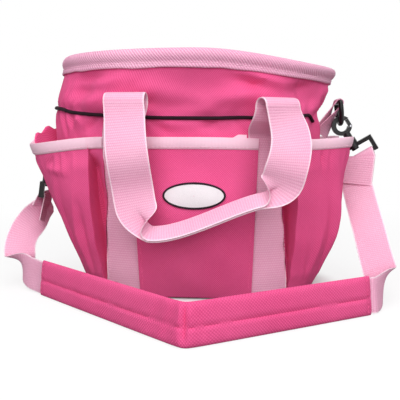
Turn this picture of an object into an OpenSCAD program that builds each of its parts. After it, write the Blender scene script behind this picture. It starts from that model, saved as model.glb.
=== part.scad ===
// Soft grooming tote: an oval cloth bag with a hooped rim, outside pockets,
// two webbing handles and a clip-on shoulder strap with a sleeved pad.
// The origin is the middle of the base on the floor. The front faces -Y.

/* [Bag] */
// Height to the top of the rim
bag_h = 238; // [210:1:280]
// Width of the cloth body at the floor
base_w = 232; // [210:1:260]
// Depth of the cloth body at the floor
base_d = 164; // [150:1:180]
// Width of the cloth body at the pocket tops
waist_w = 276; // [262:1:284]
// Depth of the cloth body at the pocket tops
waist_d = 184; // [174:1:190]
// Width over the rim
rim_w = 284; // [276:1:292]
// Depth over the rim
rim_d = 216; // [206:1:222]
// Squareness of the oval plan, where 2 is an ellipse
plan_power = 2.8; // [2.4:0.1:3.2]
// Squareness of the oval at the rim
rim_power = 2.1; // [2:0.1:2.6]
// Thickness of the body cloth
cloth_t = 1.2; // [0.8:0.1:2]
// Thickness of the board that stiffens the base
board_t = 3; // [2:0.5:6]
// How far the waist leans to the left
waist_lean = 12; // [4:1:14]
// How far the right end of the rim sags
rim_dip = 13; // [0:1:14]

/* [Rim] */
// Height of the tape that is folded over the rim
rim_band_h = 18; // [14:1:24]
// Thickness of the rim tape
rim_tape_t = 1.4; // [0.8:0.1:2]
// Diameter of the hoop rod in the rim
hoop_d = 5; // [3:0.5:7]

/* [Pockets] */
// Height of the pocket tops
pocket_h = 157; // [145:1:160]
// Thickness of the pocket cloth
pocket_t = 1.2; // [0.8:0.1:2]
// Height of the tape on the pocket tops
pocket_tape_h = 11; // [8:0.5:16]
// Thickness of the tape on the pocket tops
pocket_tape_t = 2.2; // [1.6:0.1:3]
// How far the left pockets stand off the body at their mouths
left_flare = 28; // [16:1:30]
// How far the right pockets stand off the body at their mouths
right_flare = 35; // [16:1:37]
// How far the mouth of a left pocket sags
pocket_sag = 7; // [0:0.5:10]
// How far the mouth of a right pocket rises
right_rise = 4; // [0:0.5:6]
// Depth of the pleat beside each webbing leg
pleat_d = 9; // [4:0.5:12]
// Width of the flat front and back pockets
flat_pocket_w = 120; // [108:1:130]
// How far the flat pockets belly out at their mouths
flat_pocket_belly = 8; // [6:0.5:9]

/* [Badge] */
// Width of the oval badge
badge_w = 59; // [40:1:70]
// Height of the oval badge
badge_h = 25; // [18:1:36]
// Height of the badge centre
badge_z = 103; // [80:1:120]
// Width of the dark border of the badge
badge_edge = 2; // [1:0.1:3]
// Thickness of the badge
badge_t = 1.6; // [1:0.1:3]

/* [Webbing] */
// Width of the webbing
web_w = 38; // [30:0.5:40]
// Thickness of the webbing
web_t = 1.4; // [1:0.1:2]
// Distance of each sewn leg from the middle
leg_x = 69; // [66:0.5:72]

/* [Handles] */
// Height of the fold at the top of the left drop
fold_h = 197; // [186:0.5:204]
// How much lower the right fold is
fold_step = 5; // [0:0.5:8]
// Radius of the fold
fold_r = 8; // [6:0.5:10]
// Stand-off of the riser from the waist
riser_gap = 10; // [9:0.5:14]
// How far the hanging handle slumps to the right
handle_slump = 7; // [0:0.5:10]
// Height of the left end of the grip
grip_low = 71; // [64:0.5:84]
// Height of the right end of the grip
grip_high = 101; // [92:0.5:106]
// Length of the grip across the bag
grip_l = 98; // [90:0.5:106]
// How far the grip hangs to the right of its loops
grip_shift = 3; // [0:0.5:5]
// Width of the grip, where the webbing is folded
grip_w = 15; // [12:0.5:19]
// Thickness of the folded grip
grip_t = 4; // [3:0.25:5]

/* [Elastic cord] */
// Diameter of the cord
cord_d = 3.5; // [2.5:0.25:5]
// Height of the cord at the front
cord_z = 175; // [170:0.5:178]
// How much the cord rises to the sides
cord_rise = 12; // [0:0.5:14]

/* [Rings and tabs] */
// Radius of the ring's arc
ring_r = 16; // [14.5:0.5:18]
// Thickness of the ring
ring_d = 5; // [4:0.25:6]
// Straight length between the ring's arc and its bar
ring_leg = 6; // [4:0.5:10]
// Width of the webbing tab that holds the ring
tab_w = 25; // [18:0.5:26]
// Distance of the right ring from the middle
ring_x_right = 147; // [145:0.5:150]
// Height of the centre of the right ring's arc
ring_z_right = 186; // [180:0.5:188]
// Distance of the left ring from the middle
ring_x_left = 165; // [163:0.5:170]
// Height of the centre of the left ring's arc
ring_z_left = 150; // [148:0.5:160]

/* [Hooks] */
// Inner radius of the hook
hook_r = 6; // [5.5:0.1:7]
// Width of the hook's bar
hook_bar = 4.5; // [3.5:0.1:6]
// Thickness of the hook
hook_t = 6; // [5:0.1:8]
// Diameter of the swivel pin
swivel_d = 5; // [4:0.1:6]
// Length of the swivel collar
swivel_l = 10; // [8:0.5:14]
// Diameter of the bar that the strap is looped on
eye_bar_d = 4; // [3:0.1:5]
// Outward lean of the right hook, in degrees
hook_lean_right = 32; // [26:1:36]
// Outward lean of the left hook, in degrees
hook_lean_left = 8; // [4:1:12]
// Turn of the right eye on its swivel, which lets the strap face the front, in degrees
eye_turn_right = 75; // [65:1:85]

/* [Shoulder strap] */
// Width of the strap's webbing
strap_w = 32; // [28:0.5:34]
// Width of the pad
pad_w = 35; // [34:0.5:40]
// Thickness of the pad
pad_t = 8; // [6:0.5:10]
// Length of the left arm of the pad
pad_left = 222; // [200:1:228]
// Length of the right arm of the pad
pad_right = 189; // [172:1:196]
// Distance of the pad's bend in front of the middle
pad_front = 236; // [228:1:250]
// Lean of the pad off upright, in degrees
pad_lean = 6; // [0:1:20]
// Length of strap that is turned back and sewn
turn_back = 30; // [20:1:40]
// How far the strap bows outward
strap_bow = 14; // [8:0.5:18]

/* [Hidden] */
$fn = 48;

// Colours
pink = "#e0528e";
pale = "#f5c4d8";
black = "#1c1a1c";

// Small fits and counts
seam_gap = 0.3;
play = 0.4;
over = 1;
round_cells = 26;
rise_cells = 7;
pocket_cells = 16;
tube_sides = 8;
hoop_rings = 60;

// Sides of the bag
LEFT = -1;
RIGHT = 1;

// Joins lists of rows into one list of points
function flat(rows) = [for (row = rows) for (p = row) p];
function unit(v) = v / norm(v);
function mix(a, b, s) = a + (b - a) * s;
function ease(s) = let (k = max(0, min(1, s))) k * k * (3 - 2 * k);
function quad_faces(a, b, c, d) = [[a, b, c], [a, c, d]];
function bezier(p, s) =
  p[0] * pow(1 - s, 3) + p[1] * 3 * s * pow(1 - s, 2)
  + p[2] * 3 * s * s * (1 - s) + p[3] * pow(s, 3);

// A sheet between two grids of points. The way along the rows crossed with the way along
// the columns points from the second grid to the first.
module sheet(face, back, wrap = false) {
  rows = len(face);
  cols = len(face[0]);
  far = rows * cols;
  last = wrap ? rows - 1 : rows - 2;
  function at(r, c) = (r % rows) * cols + c;
  sides = [for (r = [0:last]) for (c = [0:cols - 2]) each concat(
    quad_faces(at(r, c), at(r, c + 1), at(r + 1, c + 1), at(r + 1, c)),
    quad_faces(far + at(r, c), far + at(r + 1, c), far + at(r + 1, c + 1), far + at(r, c + 1)))];
  edges = [for (r = [0:last]) each concat(
    quad_faces(at(r, 0), at(r + 1, 0), far + at(r + 1, 0), far + at(r, 0)),
    quad_faces(at(r + 1, cols - 1), at(r, cols - 1), far + at(r, cols - 1),
      far + at(r + 1, cols - 1)))];
  ends = wrap ? [] : [for (c = [0:cols - 2]) each concat(
    quad_faces(at(0, c + 1), at(0, c), far + at(0, c), far + at(0, c + 1)),
    quad_faces(at(rows - 1, c), at(rows - 1, c + 1), far + at(rows - 1, c + 1),
      far + at(rows - 1, c)))];
  polyhedron(concat(flat(face), flat(back)), concat(sides, edges, ends));
}

// A tube through closed rings of points, each ring right-handed about the way it runs
module tube(rings, loop = false) {
  count = len(rings);
  n = len(rings[0]);
  last = loop ? count - 1 : count - 2;
  function at(r, k) = (r % count) * n + k % n;
  sides = [for (r = [0:last]) for (k = [0:n - 1]) each
    quad_faces(at(r, k), at(r + 1, k), at(r + 1, k + 1), at(r, k + 1))];
  caps = loop ? [] : [[for (k = [0:n - 1]) k], [for (k = [n - 1:-1:0]) at(count - 1, k)]];
  polyhedron(flat(rings), concat(sides, caps));
}

// Cloth body: an oval plan that widens upward, leans to the left and dips at the right of the rim
hoop_z = bag_h - rim_tape_t - seam_gap - hoop_d / 2;
wall_top = hoop_z - hoop_d / 2 - seam_gap;
rim_low = bag_h - rim_band_h;
collar_w = rim_w - 2 * (rim_tape_t + seam_gap) - hoop_d + cloth_t;
collar_d = rim_d - 2 * (rim_tape_t + seam_gap) - hoop_d + cloth_t;
cord_top = cord_z + cord_rise;
lean_share = 1.5;
dip_share = 3;
function oval(z) = lookup(z, [[cord_top, plan_power], [rim_low, rim_power]]);
function power(v, p) = sign(v) * pow(abs(v), 2 / p);
function half_w(z) = lookup(z, [[0, base_w / 2], [pocket_h, waist_w / 2],
  [cord_top, waist_w / 2], [rim_low, collar_w / 2], [bag_h, collar_w / 2]]);
function half_d(z) = lookup(z, [[0, base_d / 2], [pocket_h, waist_d / 2],
  [cord_top, waist_d / 2], [rim_low, collar_d / 2], [bag_h, collar_d / 2]]);
function lean(z) = -waist_lean * sin(180 * pow(max(0, z) / bag_h, lean_share));
function dip(x, z) = rim_dip * ease(2 * x / rim_w) * pow(max(0, z) / bag_h, dip_share);
function steep(v, p) = sign(v) * pow(abs(v), 2 - 2 / p);
function skin(t, z, off) =
  let (
    a = half_w(z),
    b = half_d(z),
    p = oval(z),
    out = unit([steep(cos(t), p) / a, steep(sin(t), p) / b]),
    x = a * power(cos(t), p) + lean(z) + off * out.x)
  [x, b * power(sin(t), p) + off * out.y, z - dip(x, z)];
function front_y(x, z) =
  let (p = oval(z))
  half_d(z) * pow(1 - pow(abs(x - lean(z)) / half_w(z), p), 1 / p);
function front_skin(x, z, off) = [x, -front_y(x, z) - off, z - dip(x, z)];
function side_x(side, z) = side * half_w(z) + lean(z);

// Flat base and the board that lies in it
plan_points = 72;
module plan(inset) {
  polygon([for (i = [0:plan_points - 1]) let (t = 360 * i / plan_points)
    [(base_w / 2 - inset) * power(cos(t), oval(0)), (base_d / 2 - inset) * power(sin(t), oval(0))]]);
}
module base_panel() {
  color(pink) linear_extrude(cloth_t) plan(0);
}
module base_board() {
  color("dimgray") translate([0, 0, cloth_t]) linear_extrude(board_t) plan(cloth_t + over);
}

// Front and back cloth, joined at the side seams
wall_rows = 6;
wall_levels = concat(
  [for (i = [0:wall_rows]) mix(cloth_t, pocket_h, i / wall_rows)],
  [cord_z, cord_top, rim_low, wall_top]);
module wall(start) {
  function face(off) = [for (i = [0:round_cells]) let (t = start + 180 * i / round_cells)
    [for (z = wall_levels) skin(t, z, off)]];
  sheet(face(0), face(-cloth_t));
}
module body_front() {
  color(pink) wall(180);
}
module body_back() {
  color(pink) wall(0);
}

// Tape folded over the rim, with the hoop in the fold
rim_arc_steps = 6;
module rim_binding() {
  mid = -cloth_t / 2;
  clear_r = hoop_d / 2 + seam_gap;
  function profile(r) = concat([[mid + r, rim_low]],
    [for (i = [0:rim_arc_steps]) let (a = 180 * i / rim_arc_steps) [mid + r * cos(a), hoop_z + r * sin(a)]],
    [[mid - r, rim_low]]);
  function face(r) = [for (i = [0:hoop_rings - 1])
    [for (p = profile(r)) skin(360 * i / hoop_rings, p[1], p[0])]];
  color(pale) sheet(face(clear_r + rim_tape_t), face(clear_r), wrap = true);
}
module round_the_bag(r, off) {
  function height(t) = off > 0 ? cord_z + cord_rise * pow(cos(t), 2) : hoop_z;
  tube([for (i = [0:hoop_rings - 1]) let (t = 360 * i / hoop_rings)
    [for (k = [0:tube_sides - 1]) let (a = 360 * k / tube_sides)
      skin(t, height(t) - r * sin(a), off + r * cos(a))]], loop = true);
}
module rim_hoop() {
  color("silver") round_the_bag(hoop_d / 2, -cloth_t / 2);
}
module elastic_cord() {
  color(black) round_the_bag(cord_d / 2, cord_d / 2 + seam_gap);
}

// Corner pockets, from a webbing leg round to the side seam
pocket_low = cloth_t + over;
flare_place_share = 1.6;
flare_round_share = 1.2;
pleat_at_share = 0.1;
pleat_run_share = 0.1;
left_belly_share = 1.3;
right_belly_share = 0.7;
seam_turn = 2;
function pocket_bump(u) = pow(max(0, sin(180 * pow(u, flare_place_share))), flare_round_share);
function pocket_top(side, u) = pocket_h + (side == LEFT ? -pocket_sag : right_rise) * pocket_bump(u);
function pocket_stand(side, u, z) =
  let (belly = side == LEFT ? left_belly_share : right_belly_share)
  pow(z / pocket_h, belly) * ((side == LEFT ? left_flare : right_flare) * pocket_bump(u)
    + pleat_d * ease((u - pleat_at_share) / pleat_run_share) * (1 - u));
function leg_turn(side, z) =
  acos(pow(abs(side * (leg_x + web_w / 2 + seam_gap) - lean(z)) / half_w(z), oval(z) / 2));
function pocket_point(side, u, z, off) =
  let (
    turn = mix(leg_turn(side, z), seam_turn, u),
    t = side == LEFT ? 180 + turn : 360 - turn)
  skin(t, z, off + seam_gap + pocket_stand(side, u, z));
module pocket_cloth(side, low, high, thick) {
  function face(off) = [for (i = [0:pocket_cells]) let (u = i / pocket_cells)
    [for (k = [0:rise_cells]) let (
      bottom = low ? pocket_low : pocket_top(side, u) - pocket_tape_h,
      top = pocket_top(side, u) - (high ? 0 : pocket_tape_h))
      pocket_point(side, u, mix(bottom, top, k / rise_cells), off)]];
  if (side == LEFT) sheet(face(0), face(thick));
  else sheet(face(thick), face(0));
}
module corner_pocket(side) {
  color(pink) pocket_cloth(side, true, false, pocket_t);
}
module corner_pocket_tape(side) {
  color(pale) pocket_cloth(side, false, true, pocket_tape_t);
}
module front_left_pocket() {
  corner_pocket(LEFT);
}
module front_right_pocket() {
  corner_pocket(RIGHT);
}
module back_left_pocket() {
  mirror([0, 1, 0]) corner_pocket(LEFT);
}
module back_right_pocket() {
  mirror([0, 1, 0]) corner_pocket(RIGHT);
}
module front_left_pocket_tape() {
  corner_pocket_tape(LEFT);
}
module front_right_pocket_tape() {
  corner_pocket_tape(RIGHT);
}
module back_left_pocket_tape() {
  mirror([0, 1, 0]) corner_pocket_tape(LEFT);
}
module back_right_pocket_tape() {
  mirror([0, 1, 0]) corner_pocket_tape(RIGHT);
}

// Flat pockets between the legs: a low slip pocket, and a wider one sewn over the legs
over_leg = web_t + 2 * seam_gap;
slip_trim = 1.5;
slip_rise = 3;
slip_w = 2 * (leg_x - slip_trim) - web_w;
belly_share = 1.2;
function flat_stand(x, z) =
  over_leg + flat_pocket_belly * (1 - pow(2 * x / flat_pocket_w, 2)) * pow(z / pocket_h, belly_share);
module flat_cloth(wide, low, high, thick, belly) {
  function face(off) = [for (i = [0:pocket_cells]) let (x = wide * (i / pocket_cells - 1 / 2))
    [for (k = [0:rise_cells]) let (z = mix(low, high, k / rise_cells))
      front_skin(x, z, off + (belly ? flat_stand(x, z) : seam_gap))]];
  sheet(face(thick), face(0));
}
module flat_pocket() {
  color(pink) flat_cloth(flat_pocket_w, pocket_low, pocket_h - pocket_tape_h, pocket_t, true);
}
module flat_pocket_tape() {
  color(pale) flat_cloth(flat_pocket_w, pocket_h - pocket_tape_h, pocket_h, pocket_tape_t, true);
}
module front_pocket() {
  flat_pocket();
}
module front_pocket_tape() {
  flat_pocket_tape();
}
module back_pocket() {
  mirror([0, 1, 0]) flat_pocket();
}
module back_pocket_tape() {
  mirror([0, 1, 0]) flat_pocket_tape();
}
slip_top = pocket_h + slip_rise;
module inner_front_pocket() {
  color(pink) flat_cloth(slip_w, pocket_low, slip_top - pocket_tape_h, pocket_t, false);
}
module inner_front_pocket_tape() {
  color(pale) flat_cloth(slip_w, slip_top - pocket_tape_h, slip_top, pocket_tape_t, false);
}

// Plain oval badge on the front pocket
badge_cells = 20;
badge_rows = 4;
badge_end = 86;
function badge_point(x, z, off) =
  front_skin(x, badge_z + z, flat_stand(x, badge_z + z) + pocket_t + seam_gap + off);
module badge() {
  wide = badge_w / 2 - badge_edge - play;
  high = badge_h / 2 - badge_edge - play;
  function face(off) = [for (i = [0:badge_cells]) let (a = badge_end * (2 * i / badge_cells - 1))
    [for (k = [0:badge_rows]) badge_point(wide * sin(a), high * cos(a) * (2 * k / badge_rows - 1), off)]];
  color("white") sheet(face(badge_t), face(0));
}
module badge_border() {
  function face(off) = [for (i = [0:2 * badge_cells - 1]) let (a = 180 * i / badge_cells)
    [for (inset = [0, badge_edge])
      badge_point((badge_w / 2 - inset) * cos(a), (badge_h / 2 - inset) * sin(a), off)]];
  color(black) sheet(face(0), face(badge_t), wrap = true);
}

// Webbing legs, sewn up the body and rising clear of the collar to a fold
riser_y = waist_d / 2 + riser_gap;
fold_steps = 3;
fold_split = 2;
riser_rows = 5;
leg_columns = 4;
riser_haste_share = 1.6;
function fold_centre(side) = fold_h - fold_r - (side == RIGHT ? fold_step : 0);
function fold_x(side) = side * leg_x + handle_slump;
function fold_turns(from, to) = [for (i = [0:fold_steps]) mix(from, to, i / fold_steps)];
function fold_point(x, side, turn, off) =
  [x, -riser_y - fold_r + (fold_r + off) * cos(turn), fold_centre(side) + (fold_r + off) * sin(turn)];
function across(wide) = [for (k = [0:leg_columns]) wide * (1 / 2 - k / leg_columns)];
function riser_point(side, s, x, off) =
  let (foot = front_skin(side * leg_x + x, pocket_h, off + seam_gap + web_t / 2))
  [mix(foot.x, fold_x(side) + x, ease(s)),
    mix(foot.y, -riser_y - off, ease(riser_haste_share * s)),
    mix(foot.z, fold_centre(side), s)];
module leg(side) {
  function face(off) = concat(
    [for (i = [0:wall_rows]) [for (x = across(web_w))
      front_skin(side * leg_x + x, mix(pocket_low, pocket_h, i / wall_rows), off + seam_gap + web_t / 2)]],
    [for (i = [1:riser_rows]) [for (x = across(web_w)) riser_point(side, i / riser_rows, x, off)]],
    [for (turn = fold_turns(0, 90 - fold_split)) if (turn > 0)
      [for (x = across(web_w)) fold_point(fold_x(side) + x, side, turn, -off)]]);
  color(pale) sheet(face(web_t / 2), face(-web_t / 2));
}
module front_left_leg() {
  leg(LEFT);
}
module front_right_leg() {
  leg(RIGHT);
}
module back_left_leg() {
  mirror([0, 1, 0]) leg(LEFT);
}
module back_right_leg() {
  mirror([0, 1, 0]) leg(RIGHT);
}

// Handle: two drops and a grip of folded webbing, hanging flat in front of the bag
drop_steps = 9;
grip_steps = 6;
fold_in_share = 0.62;
left_curl = 16;
left_bow = 6;
right_curl = 27;
right_bow = 12;
grip_sink = 3;
grip_reach = 26;
handle_y = -riser_y - 2 * fold_r;
left_knot = [handle_slump + grip_shift - grip_l / 2, grip_low];
right_knot = [handle_slump + grip_shift + grip_l / 2, grip_high];
left_drop = [
  [fold_x(LEFT), fold_centre(LEFT)],
  [fold_x(LEFT) + left_bow, mix(fold_centre(LEFT), grip_low, 1 / 2)],
  left_knot + [-left_curl, left_curl / 2],
  left_knot
];
grip_run = [
  left_knot,
  left_knot + [grip_reach, -grip_sink],
  right_knot - [grip_reach, 2 * grip_sink],
  right_knot
];
right_drop = [
  right_knot,
  right_knot + [right_curl, grip_sink],
  [fold_x(RIGHT) + right_bow, mix(grip_high, fold_centre(RIGHT), 1 / 2)],
  [fold_x(RIGHT), fold_centre(RIGHT)]
];
function folded(s) = ease((s - fold_in_share) / (1 - fold_in_share));
handle_run = concat(
  [for (i = [0:drop_steps]) let (s = i / drop_steps) [bezier(left_drop, s), folded(s)]],
  [for (i = [1:grip_steps]) [bezier(grip_run, i / grip_steps), 1]],
  [for (i = [1:drop_steps]) let (s = i / drop_steps) [bezier(right_drop, s), folded(1 - s)]]);
function handle_way(i) =
  unit(handle_run[min(i + 1, len(handle_run) - 1)][0] - handle_run[max(i - 1, 0)][0]);
function handle_row(i, off) =
  let (
    p = handle_run[i][0],
    way = handle_way(i),
    wide = mix(web_w, grip_w, handle_run[i][1]),
    thick = mix(web_t, grip_t, handle_run[i][1]))
  [for (x = across(wide)) [p.x + way.y * x, handle_y - off * thick, p.y - way.x * x]];
module handle() {
  function face(off) = concat(
    [for (turn = fold_turns(90 + fold_split, 180)) if (turn < 180)
      [for (x = across(web_w)) fold_point(fold_x(LEFT) - x, LEFT, turn, off * web_t)]],
    [for (i = [0:len(handle_run) - 1]) handle_row(i, off)],
    [for (turn = fold_turns(180, 90 + fold_split)) if (turn < 180)
      [for (x = across(web_w)) fold_point(fold_x(RIGHT) + x, RIGHT, turn, off * web_t)]]);
  color(pale) sheet(face(1 / 2), face(-1 / 2));
}
module front_handle() {
  handle();
}
module back_handle() {
  mirror([0, 1, 0]) handle();
}

// Rings at the side seams: their arcs share one axis, about which the strap swings
left_arc = [-ring_x_left, 0, ring_z_left];
right_arc = [ring_x_right, 0, ring_z_right];
swing_tilt = atan2(ring_z_right - ring_z_left, ring_x_right + ring_x_left);
ring_down = [sin(swing_tilt), 0, -cos(swing_tilt)];
function arc_centre(side) = side == LEFT ? left_arc : right_arc;
module at_ring(side) {
  translate(arc_centre(side)) rotate([0, -swing_tilt, 0]) children();
}
module ring(side) {
  color(black) at_ring(side) {
    rotate([0, 90, 0]) rotate([0, 0, -90]) rotate_extrude(angle = 180)
      translate([ring_r, 0]) circle(d = ring_d);
    for (y = [-ring_r, ring_r]) {
      translate([0, y, 0]) cylinder(h = ring_leg, d = ring_d);
      translate([0, y, ring_leg]) sphere(d = ring_d);
    }
    translate([0, -ring_r, ring_leg]) rotate([-90, 0, 0]) cylinder(h = 2 * ring_r, d = ring_d);
  }
}
module left_ring() {
  ring(LEFT);
}
module right_ring() {
  ring(RIGHT);
}

// Webbing tabs: sewn above the pockets and looped round the rings' bars
tab_foot_rise = 6;
tab_steps = 8;
tab_foot_z = pocket_h + tab_foot_rise;
function tab_run(side) =
  let (
    bar = arc_centre(side) - ring_leg * ring_down,
    root_z = tab_foot_z - dip(side_x(side, tab_foot_z), tab_foot_z),
    root = [side_x(side, tab_foot_z), 0, root_z],
    way = unit(bar - root),
    out = side * [way.z, 0, -way.x],
    foot = root + [side * (abs(out.x) * (web_t + seam_gap / 2) + seam_gap), 0, 0],
    loop_r = ring_d / 2 + seam_gap + web_t / 2)
  concat(
    [foot - out * (web_t + seam_gap) / 2],
    [for (i = [0:tab_steps]) let (a = 180 * i / tab_steps)
      bar - out * loop_r * cos(a) + way * loop_r * sin(a)],
    [foot + out * (web_t + seam_gap) / 2]);
function run_way(run, i) = unit(run[min(i + 1, len(run) - 1)] - run[max(i - 1, 0)]);
module tab(side) {
  run = tab_run(side);
  function face(off) = [for (i = [0:len(run) - 1]) let (up = cross(run_way(run, i), [0, side, 0]))
    [for (y = [-1, 1]) run[i] + [0, y * side * tab_w / 2, 0] + off * up]];
  color(pale) sheet(face(web_t / 2), face(-web_t / 2));
}
module left_tab() {
  tab(LEFT);
}
module right_tab() {
  tab(RIGHT);
}

// Snap hooks: local -Z runs down the shank, and the ring's arc passes through the origin along Y
hook_out_r = hook_r + hook_bar;
hook_clear = 0.8;
hook_mid = hook_r - ring_d / 2 - hook_clear;
mouth_low = 5.3;
mouth_high = 3.7;
neck_wall = 1.5;
neck_d = swivel_d + 2 * neck_wall;
neck_l = 6;
neck_top = -hook_mid - hook_r - hook_bar / 2;
neck_low = -hook_mid - hook_out_r - neck_l;
collar_low = neck_low - seam_gap - swivel_l;
pin_head_h = 2;
gate_reach = 7.6;
gate_sink = 4.8;
gate_d = 3.6;
gate_t = 3;
gate_pin_d = 2;
gate_bore_play = 0.1;
function hook_lean(side) = side == LEFT ? hook_lean_left : hook_lean_right;
module at_hook(side) {
  translate(arc_centre(side) + ring_r * ring_down) rotate([0, -side * hook_lean(side), 0])
    mirror([side == LEFT ? 1 : 0, 0, 0]) children();
}
module across_hook(thick) {
  rotate([90, 0, 0]) linear_extrude(thick, center = true) children();
}
module hook(side) {
  color(black) at_hook(side) difference() {
    union() {
      translate([0, 0, -hook_mid]) across_hook(hook_t) difference() {
        circle(hook_out_r);
        circle(hook_r);
        translate([hook_r - over, -mouth_low]) square([hook_bar + 2 * over, mouth_low + mouth_high]);
      }
      translate([0, 0, neck_low]) cylinder(h = neck_top - neck_low, d = neck_d);
      translate([0, 0, collar_low - play]) cylinder(h = neck_low - collar_low + play + over, d = swivel_d);
      translate([0, 0, collar_low - play - pin_head_h]) cylinder(h = pin_head_h, d = neck_d);
    }
    translate([gate_reach, 0, -hook_mid - gate_sink]) {
      across_hook(gate_t + 2 * play) {
        circle(gate_d / 2 + play);
        translate([-gate_d / 2 - play, 0]) square([hook_out_r, mouth_low]);
      }
      across_hook(hook_t + 2 * over) circle(d = gate_pin_d);
    }
  }
}
module gate(side) {
  color(black) at_hook(side) translate([gate_reach, 0, -hook_mid - gate_sink])
    across_hook(gate_t) difference() {
      union() {
        circle(d = gate_d);
        translate([-gate_d / 2, 0]) square([gate_d, gate_sink + mouth_high - play]);
      }
      circle(d = gate_pin_d + 2 * gate_bore_play);
    }
}
module gate_pin(side) {
  color("gray") at_hook(side) translate([gate_reach, 0, -hook_mid - gate_sink])
    across_hook(hook_t) circle(d = gate_pin_d);
}
module left_hook() {
  hook(LEFT);
}
module right_hook() {
  hook(RIGHT);
}
module left_gate() {
  gate(LEFT);
}
module right_gate() {
  gate(RIGHT);
}
module left_gate_pin() {
  gate_pin(LEFT);
}
module right_gate_pin() {
  gate_pin(RIGHT);
}

// Swivel eyes: a collar on the hook's pin and a frame with a bar for the strap
eye_side = 4;
eye_t = 5;
eye_top = 4;
eye_window_h = 9;
eye_play = 0.8;
eye_w = strap_w + 2 * eye_play;
collar_wall = 3;
collar_d_out = swivel_d + 2 * collar_wall;
eye_bar_z = collar_low - eye_window_h - eye_bar_d / 2;
function eye_turn(side) = side == LEFT ? 0 : eye_turn_right;
module eye(side) {
  color(black) at_hook(side) rotate([0, 0, eye_turn(side)]) difference() {
    union() {
      translate([0, 0, collar_low]) cylinder(h = swivel_l, d = collar_d_out);
      translate([-eye_t / 2, -eye_w / 2 - eye_side, collar_low])
        cube([eye_t, eye_w + 2 * eye_side, eye_top]);
      for (y = [-eye_w / 2 - eye_side, eye_w / 2])
        translate([-eye_t / 2, y, eye_bar_z - eye_bar_d / 2])
          cube([eye_t, eye_side, collar_low - eye_bar_z + eye_bar_d / 2 + eye_top]);
      translate([0, -eye_w / 2 - eye_side / 2, eye_bar_z]) rotate([-90, 0, 0])
        cylinder(h = eye_w + eye_side, d = eye_bar_d);
    }
    translate([0, 0, collar_low - over]) cylinder(h = swivel_l + 2 * over, d = swivel_d + play);
  }
}
module left_eye() {
  eye(LEFT);
}
module right_eye() {
  eye(RIGHT);
}
function eye_bar(side) =
  arc_centre(side) + ring_r * ring_down
  - eye_bar_z * [side * sin(hook_lean(side)), 0, -cos(hook_lean(side))];
function bar_way(side) =
  let (turn = eye_turn(side), lean = hook_lean(side))
  [side * sin(turn) * cos(lean), -cos(turn), sin(turn) * sin(lean)];
function bar_up(side) = unit([0, 0, 1] - bar_way(side) * bar_way(side).z);
function bar_out(side) = -side * cross(bar_way(side), bar_up(side));

// Shoulder pad: a crowned sleeve on its edge, bent in a V and leaning in, with a crease along it
pad_shift = 0;
pad_left_turn = 46;
pad_right_turn = 33;
pad_bend = [pad_shift, -pad_front, 0];
left_way = [-cos(pad_left_turn), sin(pad_left_turn), 0];
right_way = [cos(pad_right_turn), sin(pad_right_turn), 0];
left_in = [sin(pad_left_turn), cos(pad_left_turn), 0];
right_in = [-sin(pad_right_turn), cos(pad_right_turn), 0];
bend_in = unit(left_way + right_way) / (unit(left_way + right_way) * right_in);
pad_section_shares = [[1, 0], [0.9, 0.7], [0.62, 1], [0.52, 0.6], [0.42, 1], [0.1, 0.7],
  [0, 0], [0.1, -0.5], [0.5, -1], [0.9, -0.7]];
pad_step_shares = [1, 0.8, 0.6, 0.4, 0.18];
function pad_up(inward) = pad_w * (inward * sin(pad_lean) + [0, 0, cos(pad_lean)]);
function pad_out(inward) = pad_t / 2 * ([0, 0, sin(pad_lean)] - inward * cos(pad_lean));
function pad_ring(foot, inward) =
  [for (p = pad_section_shares) foot + p[0] * pad_up(inward) + p[1] * pad_out(inward)];
module shoulder_pad() {
  count = len(pad_step_shares);
  color(pink) tube(concat(
    [for (s = pad_step_shares) pad_ring(pad_bend + s * pad_left * left_way, left_in)],
    [pad_ring(pad_bend, bend_in)],
    [for (i = [count - 1:-1:0]) let (s = pad_step_shares[i])
      pad_ring(pad_bend + s * pad_right * right_way, right_in)]));
}

// Straps: looped on the eye's bar, sewn back on themselves, and run down to the pad's ends
right_route_shares = [[-0.25, 0.03, 0.25], [0, 0.17, 0.44], [0.2, 0.35, 0.62],
  [0.35, 0.52, 0.79], [0.45, 0.69, 0.92], [0.3, 0.85, 0.98]];
right_lay_shares = [[0.93, -0.3, 0.25], [0.95, -0.25, 0.2], [0.97, -0.1, 0.15],
  [0.93, 0.1, 0.35], [0.6, 0.4, 0.7], [0.15, 0.2, 0.97]];
left_route_shares = [[0.2, 0.04, 0.2], [0.8, 0.15, 0.35], [1.3, 0.3, 0.51],
  [1.45, 0.46, 0.69], [1.05, 0.66, 0.88], [0.2, 0.85, 0.97]];
left_lay_shares = [[-0.5, -0.8, 0.2], [-0.8, -0.5, 0.2], [-0.95, -0.2, 0.15],
  [-0.93, 0.05, 0.3], [-0.5, 0.3, 0.75], [-0.1, 0.2, 0.97]];
loop_turns = [180, 150, 120, 90, 60, 30, 0];
strap_steps = 4;
strap_stub = 9;
strap_fall = 9;
loop_r = eye_bar_d / 2 + seam_gap + web_t / 2;
function smooth(list, i, s) =
  let (
    a = list[max(i - 1, 0)],
    b = list[i],
    c = list[i + 1],
    d = list[min(i + 2, len(list) - 1)])
  b + (c - a) * s / 2 + (2 * a - 5 * b + 4 * c - d) * s * s / 2 + (3 * b - a - 3 * c + d) * s * s * s / 2;
function strap_end(side, past) = side == LEFT
  ? pad_bend + (pad_left + past) * left_way + pad_up(left_in) / 2
  : pad_bend + (pad_right + past) * right_way + pad_up(right_in) / 2;
function strap_loop(side) =
  [for (a = loop_turns) eye_bar(side) + loop_r * (bar_out(side) * cos(a) + bar_up(side) * sin(a))];
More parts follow.
